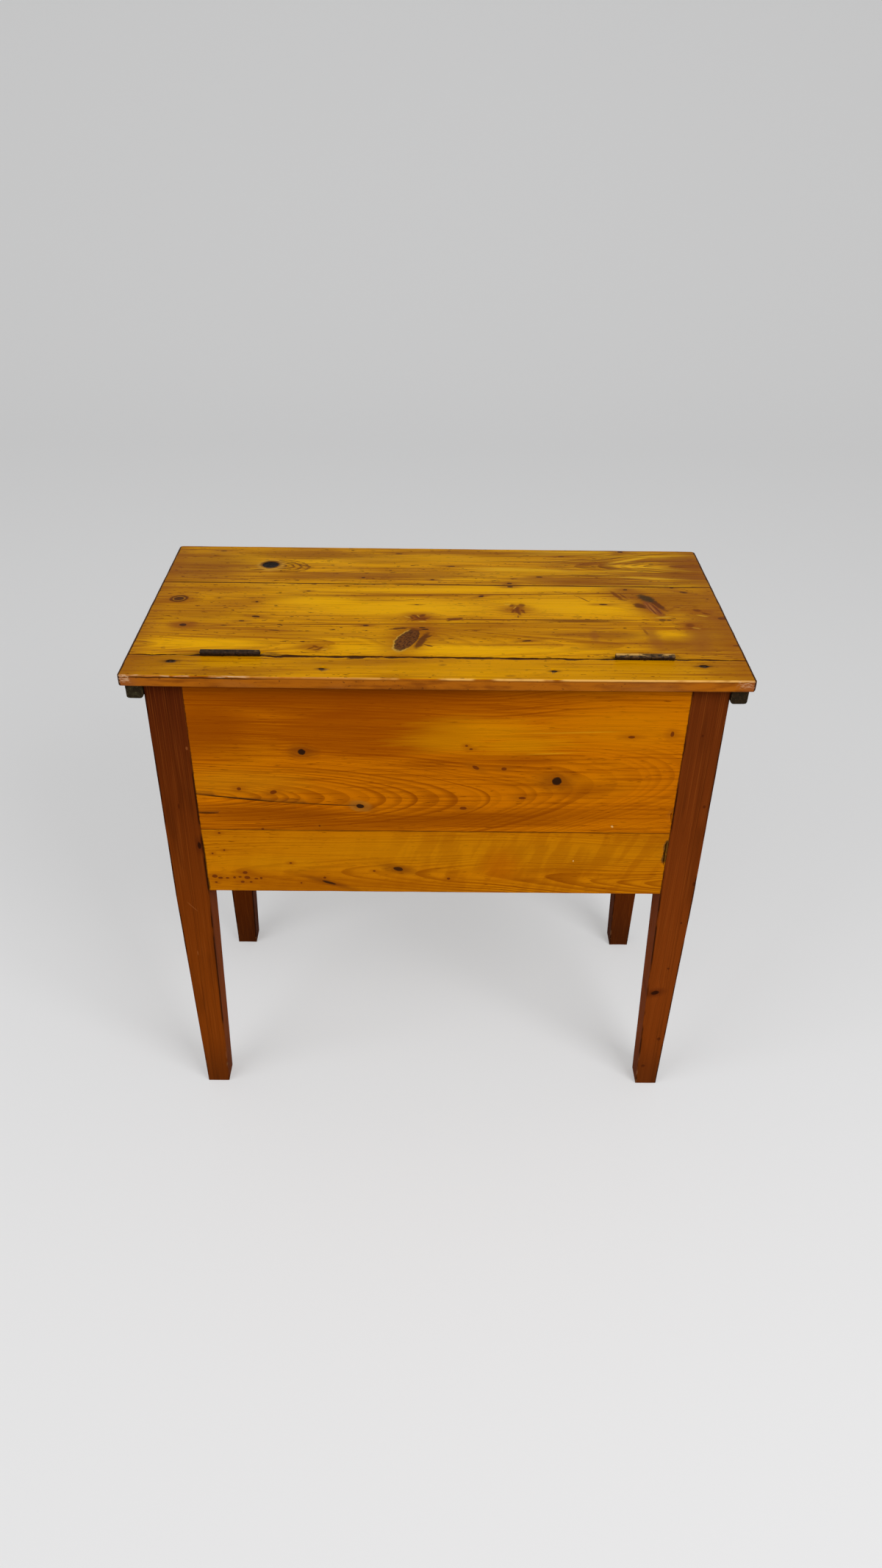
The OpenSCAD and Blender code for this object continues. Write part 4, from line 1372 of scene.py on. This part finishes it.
back_low, back_high = corners("lid_board_back")
back_corners = (5, 6.5)
plug_low, plug_high = corners("knot_plug")
plug_x = (plug_low[0] + plug_high[0]) / 2
plug_y = (plug_low[1] + plug_high[1]) / 2
plug_across = plug_high[0] - plug_low[0]
back_marks = [
    (284, 203, 9, 6), (-8, 90, 6, 4), (-110, 95, 6, 4), (150, 104, 10, 4), (105, 80, 8, 5),
    (20, 140, 12, 3), (-330, 190, 10, 3), (190, 182, 10, 3), (-60, 186, 12, 3),
]
wood = Timber("lid_board_back_wax", "xyz", 73)
coarse = wood.along.ease(120, 240)
autumn = wood.rings(
    (141, 736), (0.02, -0.012), 3.4, 7, [(plug_x, plug_y, 60, 34), (284, 190, 16, 8)],
    swing=wood.along.ease(130, 400) * 26,
)
waxed(wood, autumn, coarse * 0.4 + 0.6)
bold_streaks = wood.mottle(120, 4, 2).ease(0.53, 0.59) * coarse
wood.lay((108, 52, 0), bold_streaks * 0.5)
wood.cloud((240, 184, 20), coarse * 0.4, (110, 4, 2), 0.54, 0.6)
wood.lay((112, 58, 4), autumn * coarse * 0.6)
wood.patch(
    (136, 72, 10), 0.65, (240, 156, 76, 22), (340, 114, 200, 16, -4), (190, 96, 190, 16),
    (330, 170, 90, 12, 4), ragged=0.9,
)
wood.patch(
    (236, 178, 30), 0.75, line(262, 158, 326, 184, 7), line(322, 184, 392, 192, 6),
    line(262, 150, 318, 144, 6), line(316, 144, 388, 130, 6), line(120, 190, 250, 198, 14),
    line(60, 132, 200, 128, 12), line(270, 106, 370, 100, 5), edge=0.5, ragged=0.9,
)
wood.patch(
    (96, 46, 4), 0.8, line(226, 148, 300, 134, 2.6), line(300, 134, 380, 120, 2.4),
    line(232, 164, 300, 188, 2.6), line(300, 188, 372, 200, 2.2), line(284, 158, 340, 170, 2.4),
    line(90, 162, 210, 160, 2.4), line(40, 176, 150, 182, 2.2), line(130, 112, 250, 110, 2.6),
    edge=0.5, ragged=1.0,
)
wood.patch(
    # Pale yellow figure in the wax, partly painted sheen of the finish.
    (220, 158, 0), 0.5, (-290, 163, 70, 34, 10), (-40, 170, 300, 30), (150, 120, 200, 20, 3),
)
wood.patch(
    (134, 70, 6), 0.65, (-120, 100, 300, 26, 2), (-350, 130, 140, 120), (60, 192, 360, 14),
    (260, 84, 300, 16), (376, 140, 70, 120), (-200, 180, 220, 30),
)
wood.patch((206, 152, 56), 0.7, (plug_x + 2, plug_y - 3, 40, 40), edge=0.3)
wood.patch((104, 58, 18), 0.8, (plug_x, plug_y, 31, 30), edge=0.16)
wood.patch(
    (112, 58, 4), 0.7, (-204, 138, 28, 5, -24), (-268, 120, 22, 5, 10), edge=0.5, ragged=1.1,
)
loops = wood.around((plug_x + 15, plug_y - 4, 92, 46, -8), ragged=0.2)
drawn = (loops * 4).work("FRACT").ease(0.5, 0.8) * loops.ease(1.15, 0.9)
wood.lay((102, 50, 2), drawn * wood.along.ease(plug_x - 6, plug_x + 22) * 0.75)
knotted(wood, back_marks, (80, 42, 14), (146, 82, 14))
glued = wood.across.ease(back_low[1] + 1.6, back_low[1] + 0.8)
wood.cloud(glue_brown, glued * 0.9, (60, 4, 3), 0.26, 0.4)
wood.lay((104, 60, 24), wood.across.ease(back_high[1] - 1.6, back_high[1] - 0.2) * 0.8)
worn_ends(wood, back_low, back_high)


def round_back(place):
    """The back corners of the top, worn rounder than the front ones."""
    for end_x, radius in zip((back_low[0], back_high[0]), back_corners):
        round_corner(place, end_x, back_high[1], radius)
    return place


def drums(*cuts):
    """Round cutters, each from (x, y), a lower z and radius, and an upper z and radius."""
    shapes = bmesh.new()
    for x, y, z_low, radius_low, z_high, radius_high in cuts:
        bmesh.ops.create_cone(
            shapes, cap_ends=True, segments=48, radius1=radius_low * MM, radius2=radius_high * MM,
            depth=(z_high - z_low) * MM,
            matrix=Matrix.Translation(Vector((x, y, (z_low + z_high) / 2)) * MM),
        )
    return as_mesh(shapes, "cutter")


back_board = worn_board(
    "lid_board_back_board", "xyz", back_low, back_high, (1.9, 1.9, 0.35, 1.6), (1.4, 1.4, 0.3, 1.2),
    dips=0.16, wear=0.5, shape=round_back, corner=max(back_corners),
)
plug_radius = plug_across / 2
plug_play = 0.15
hole_worn = 2
carve(back_board, drums(
    (plug_x, plug_y, back_low[2] - 1, plug_radius + plug_play, top_z + 1, plug_radius + plug_play),
    (plug_x, plug_y, top_z - 1, plug_radius, top_z + 1, plug_radius + hole_worn),
))
top_board(back_board, wood, autumn, bold_streaks * 0.5, (80, 30), "lid", "lid_board_back")


# Knot plug
# A round plug in the back board, filled and waxed over until it is black, a little below
# the surface. Its face is shrunken and cracked, with a paler ring painted round its rim as a
# highlight.
def lathe(name, rings, segments=48):
    """A closed body of (radius, height) rings about an upright axis at the origin, in millimetres."""
    body = bmesh.new()
    rows = []
    for radius, height in rings:
        turns = [2 * math.pi * i / segments for i in range(segments if radius else 1)]
        rows.append([
            body.verts.new(Vector((radius * math.cos(turn), radius * math.sin(turn), height)) * MM)
            for turn in turns
        ])
    for below, above in zip(rows, rows[1:]):
        for i in range(segments):
            ring = [
                below[i % len(below)], below[(i + 1) % segments % len(below)],
                above[(i + 1) % segments % len(above)], above[i % len(above)],
            ]
            body.faces.new(list(dict.fromkeys(ring)))
    return as_piece(body, name)


plug_face = plug_high[2]
plug = lathe("knot_plug_filled", [
    (0, plug_low[2]), (plug_radius - 0.8, plug_low[2]), (plug_radius, plug_low[2] + 0.8),
    (plug_radius, plug_face - 0.9), (plug_radius - 0.3, plug_face - 0.3),
    (plug_radius - 1, plug_face), (plug_radius - 2.4, plug_face - 0.2),
    (plug_radius - 4, plug_face - 0.5), (plug_radius - 7, plug_face - 0.35),
    (2.4, plug_face - 0.6), (0, plug_face - 0.5),
])
for vert in plug.data.vertices:
    spread = math.hypot(vert.co.x, vert.co.y) / MM
    if vert.co.z / MM > plug_face - 1 and spread < plug_radius - 0.6:
        vert.co.z += 0.3 * MM * noise.noise(vert.co / MM * 0.3)
    vert.co += Vector((plug_x, plug_y, 0)) * MM
wood = Timber("knot_plug_black", "xyz", 74)
from_middle = wood.around((plug_x, plug_y, plug_across, plug_across), ragged=0.25)
turns_round = (from_middle * 9).work("FRACT")
wood.colour = wood.mix((30, 22, 20), (18, 12, 12), turns_round.ease(0.3, 0.8))
wood.cloud((70, 48, 34), 0.5, (3, 3, 3), 0.6, 0.72)
# Painted highlight: a paler ring round the rim, where its edge catches the light.
wood.lay((96, 62, 36), from_middle.ease(0.86, 0.96) * 0.6)
relief = wood.mottle(1.6, 1.6, 3) * 0.6 + turns_round * 0.4
material = wood.finish(relief, wood.mottle(5, 5) * 0.25 + 0.4, 0.25, 0.08)
fit(plug, material, "lid", "knot_plug")


# Lid cleats
# A long square bar of the same dark timber under each end of the lid, across its boards.
# Four slotted screws go up through each one.
screw_head = 8
screw_shank = 4
head_play = 0.4
shank_play = 0.2
head_seat = 2
lid_screws = []
for seed, (side, tones) in enumerate(cleat_tones.items()):
    node = "lid_cleat_" + side
    cleat_end = corners(node)[1][1]
    screw_rows = [wide_low[1] + share * (wide_high[1] - wide_low[1]) for share in (0.15, 0.8)]
    screw_rows += [back_low[1] + share * (cleat_end - back_low[1]) for share in (0.25, 0.8)]
    own_screws = along_cleat(node, screw_rows)
    lid_screws += own_screws
    holes = drums(*(
        (x, y, z - 1, screw_head / 2 + head_play, z + head_seat, screw_shank / 2 + shank_play)
        for (x, y, z), out in own_screws
    ))
    black_cleat(node, "lid", 83 + seed, *tones, holes)


# Screws
# Plain steel wood screws with slotted countersunk heads, dulled and browner in patches.
def dulled_steel(name, seed):
    """Grey steel gone dull, browner in patches, with bright scratches."""
    skin = Surface(name, "xyz", seed)
    skin.colour = (118, 110, 100)
    skin.cloud((74, 58, 44), 0.8, (2, 2, 3), 0.46, 0.66)
    skin.cloud((176, 170, 158), 0.5, (3, 0.4, 2), 0.62, 0.72)
    return skin.finish(skin.mottle(0.7, 0.7, 3), skin.mottle(2, 2) * 0.3 + 0.3, 0.08, 0.5, 0.85)


def slotted_screw(tree, size):
    """A countersunk head with a slot, a core that narrows to the point, and a thread round it."""
    head = size["Head radius"]
    shank = size["Shank radius"]
    length = size["Length"]
    core = shank * 0.78
    cone = add_node(tree, "GeometryNodeMeshCone", {
        "Vertices": 32, "Radius Top": head, "Radius Bottom": shank, "Depth": head - shank,
    })
    slot_size = add_node(tree, "ShaderNodeCombineXYZ", {
        0: head * 2.4, 1: size["Slot wide"], 2: head * 0.56,
    })
    slot = add_node(tree, "GeometryNodeMeshCube", {"Size": slot_size.outputs[0]})
    slotted = add_node(tree, "GeometryNodeMeshBoolean", {
        "Mesh 1": set_down(tree, cone.outputs["Mesh"], head - shank), "Mesh 2": slot.outputs["Mesh"],
    }, operation="DIFFERENCE", solver="EXACT")
    stem = add_node(tree, "GeometryNodeMeshCone", {
        "Vertices": 16, "Radius Top": core, "Radius Bottom": core * 0.2, "Depth": length,
    })
    coil = add_node(tree, "GeometryNodeCurveSpiral", {
        "Resolution": 14, "Rotations": size["Turns"], "Height": length * 0.62,
        "Start Radius": core * 0.3, "End Radius": core,
    })
    wire = add_node(
        tree, "GeometryNodeCurvePrimitiveCircle", {"Resolution": 4, "Radius": shank * 0.24},
    )
    thread = add_node(tree, "GeometryNodeCurveToMesh", {
        "Curve": coil.outputs[0], "Profile Curve": wire.outputs[0], "Fill Caps": True,
    })
    return (
        slotted.outputs[0], set_down(tree, stem.outputs["Mesh"], length),
        set_down(tree, thread.outputs[0], length),
    )


screw_turns = 9.0
slot_share = 0.14
screw_maker = maker(
    "wood_screws", slotted_screw, "Length", "Head radius", "Shank radius", "Slot wide", "Turns",
)


def screw_row(name, node, body, screws, length, head, shank, seed):
    """The screws of one kind, as one piece on one body."""
    steel = dulled_steel(name + "_steel", seed)
    row = driven(
        name, screw_maker, screws, Length=length * MM, Seed=seed, Turns=screw_turns, Material=steel,
        **{"Head radius": head / 2 * MM, "Shank radius": shank / 2 * MM,
           "Slot wide": slot_share * head * MM},
    )
    fit(row, steel, body, node)


screw_row(
    "lid_cleat_slotted_screws", "lid_cleat_screws", "lid", lid_screws,
    through_cleat, screw_head, screw_shank, 91,
)


# Hinges
# Two old butt hinges of brown-black iron, let into the edges of the rail and the lid.
# Their five-knuckle barrels stand above the seam; the right one's crest is rubbed bright and painted
# with highlight glints.
def eased_copy(name, node, easing):
    """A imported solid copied, with its edges eased as casting and handling leave them."""
    flat_within = math.radians(1)
    sharp_over = math.radians(35)
    shell = bmesh.new()
    shell.from_mesh(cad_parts[node].data)
    bmesh.ops.remove_doubles(shell, verts=shell.verts, dist=0.002 * MM)
    bmesh.ops.dissolve_limit(
        shell, angle_limit=flat_within, verts=shell.verts, edges=shell.edges,
    )
    sharp = [
        edge for edge in shell.edges
        if edge.is_manifold and edge.calc_face_angle() > sharp_over
    ]
    bmesh.ops.bevel(
        shell, geom=sharp, offset=easing * MM, segments=2, affect="EDGES", profile=0.6,
        clamp_overlap=True,
    )
    return as_piece(shell, name)


def hinge_iron(name, seed, rub_and_glint):
    """Brown-black iron; its last argument, from 0 to 1, is how far its crest is rubbed bright and
    painted with highlight glints.
    """
    skin = Surface(name, "xyz", seed)
    skin.colour = (46, 33, 24)
    skin.cloud((28, 20, 15), 1, (5, 4, 4), 0.4, 0.65)
    skin.cloud((92, 58, 34), 0.6, (2.4, 2.4, 3), 0.58, 0.72)
    browned = skin.deep.ease(barrel_z - 1, barrel_z + 2) * (0.6 * rub_and_glint)
    skin.cloud((112, 82, 40), browned, (8, 3, 3), 0.38, 0.6)
    # Painted highlight: bright glints along the top of the barrel, partly rubbed metal.
    crest = skin.deep.ease(barrel_z + 2.6, barrel_z + 3.5) * (0.05 + 0.85 * rub_and_glint)
    skin.cloud((214, 168, 92), crest, (15, 6, 3), 0.62 - 0.16 * rub_and_glint, 0.74 - 0.18 * rub_and_glint)
    gloss = skin.mottle(3, 3) * 0.25 + 0.34
    return skin.finish(skin.mottle(1.6, 1.6, 4), gloss, 0.14, 0.15, 0.3)


barrel_z = 776
hinge_screw_head = 6.4
hinge_screw_shank = 3.2
hinge_screw_long = 19
hinge_long = leaf_high[0] - leaf_low[0]
hinge_screw_z = (leaf_low[2] + top_z) / 2
for seed, (side, rub_and_glint) in enumerate((("left", 0.15), ("right", 1.0))):
    iron = hinge_iron("hinge_" + side + "_iron", 101 + seed, rub_and_glint)
    for kind, body, easing in (
        ("fixed_leaf", "case", 0.3), ("moving_leaf", "lid", 0.3), ("pin", "case", 0.2),
    ):
        node = "hinge_" + kind + "_" + side
        fit(eased_copy(node + "_worn", node, easing), iron, body, node)

for kind, body, face, facing in (
    ("fixed", "case", rail_high[1], 1), ("moving", "lid", wide_low[1], -1),
):
    places = [
        ((sum(span) / 2 + share * hinge_long, face, hinge_screw_z), (0, facing, 0))
        for span in mirrored(leaf_low[0], leaf_high[0]) for share in (-0.36, 0, 0.36)
    ]
    screw_row(
        "hinge_slotted_screws_" + kind, "hinge_screws_" + kind, body, places,
        hinge_screw_long, hinge_screw_head, hinge_screw_shank, 93,
    )
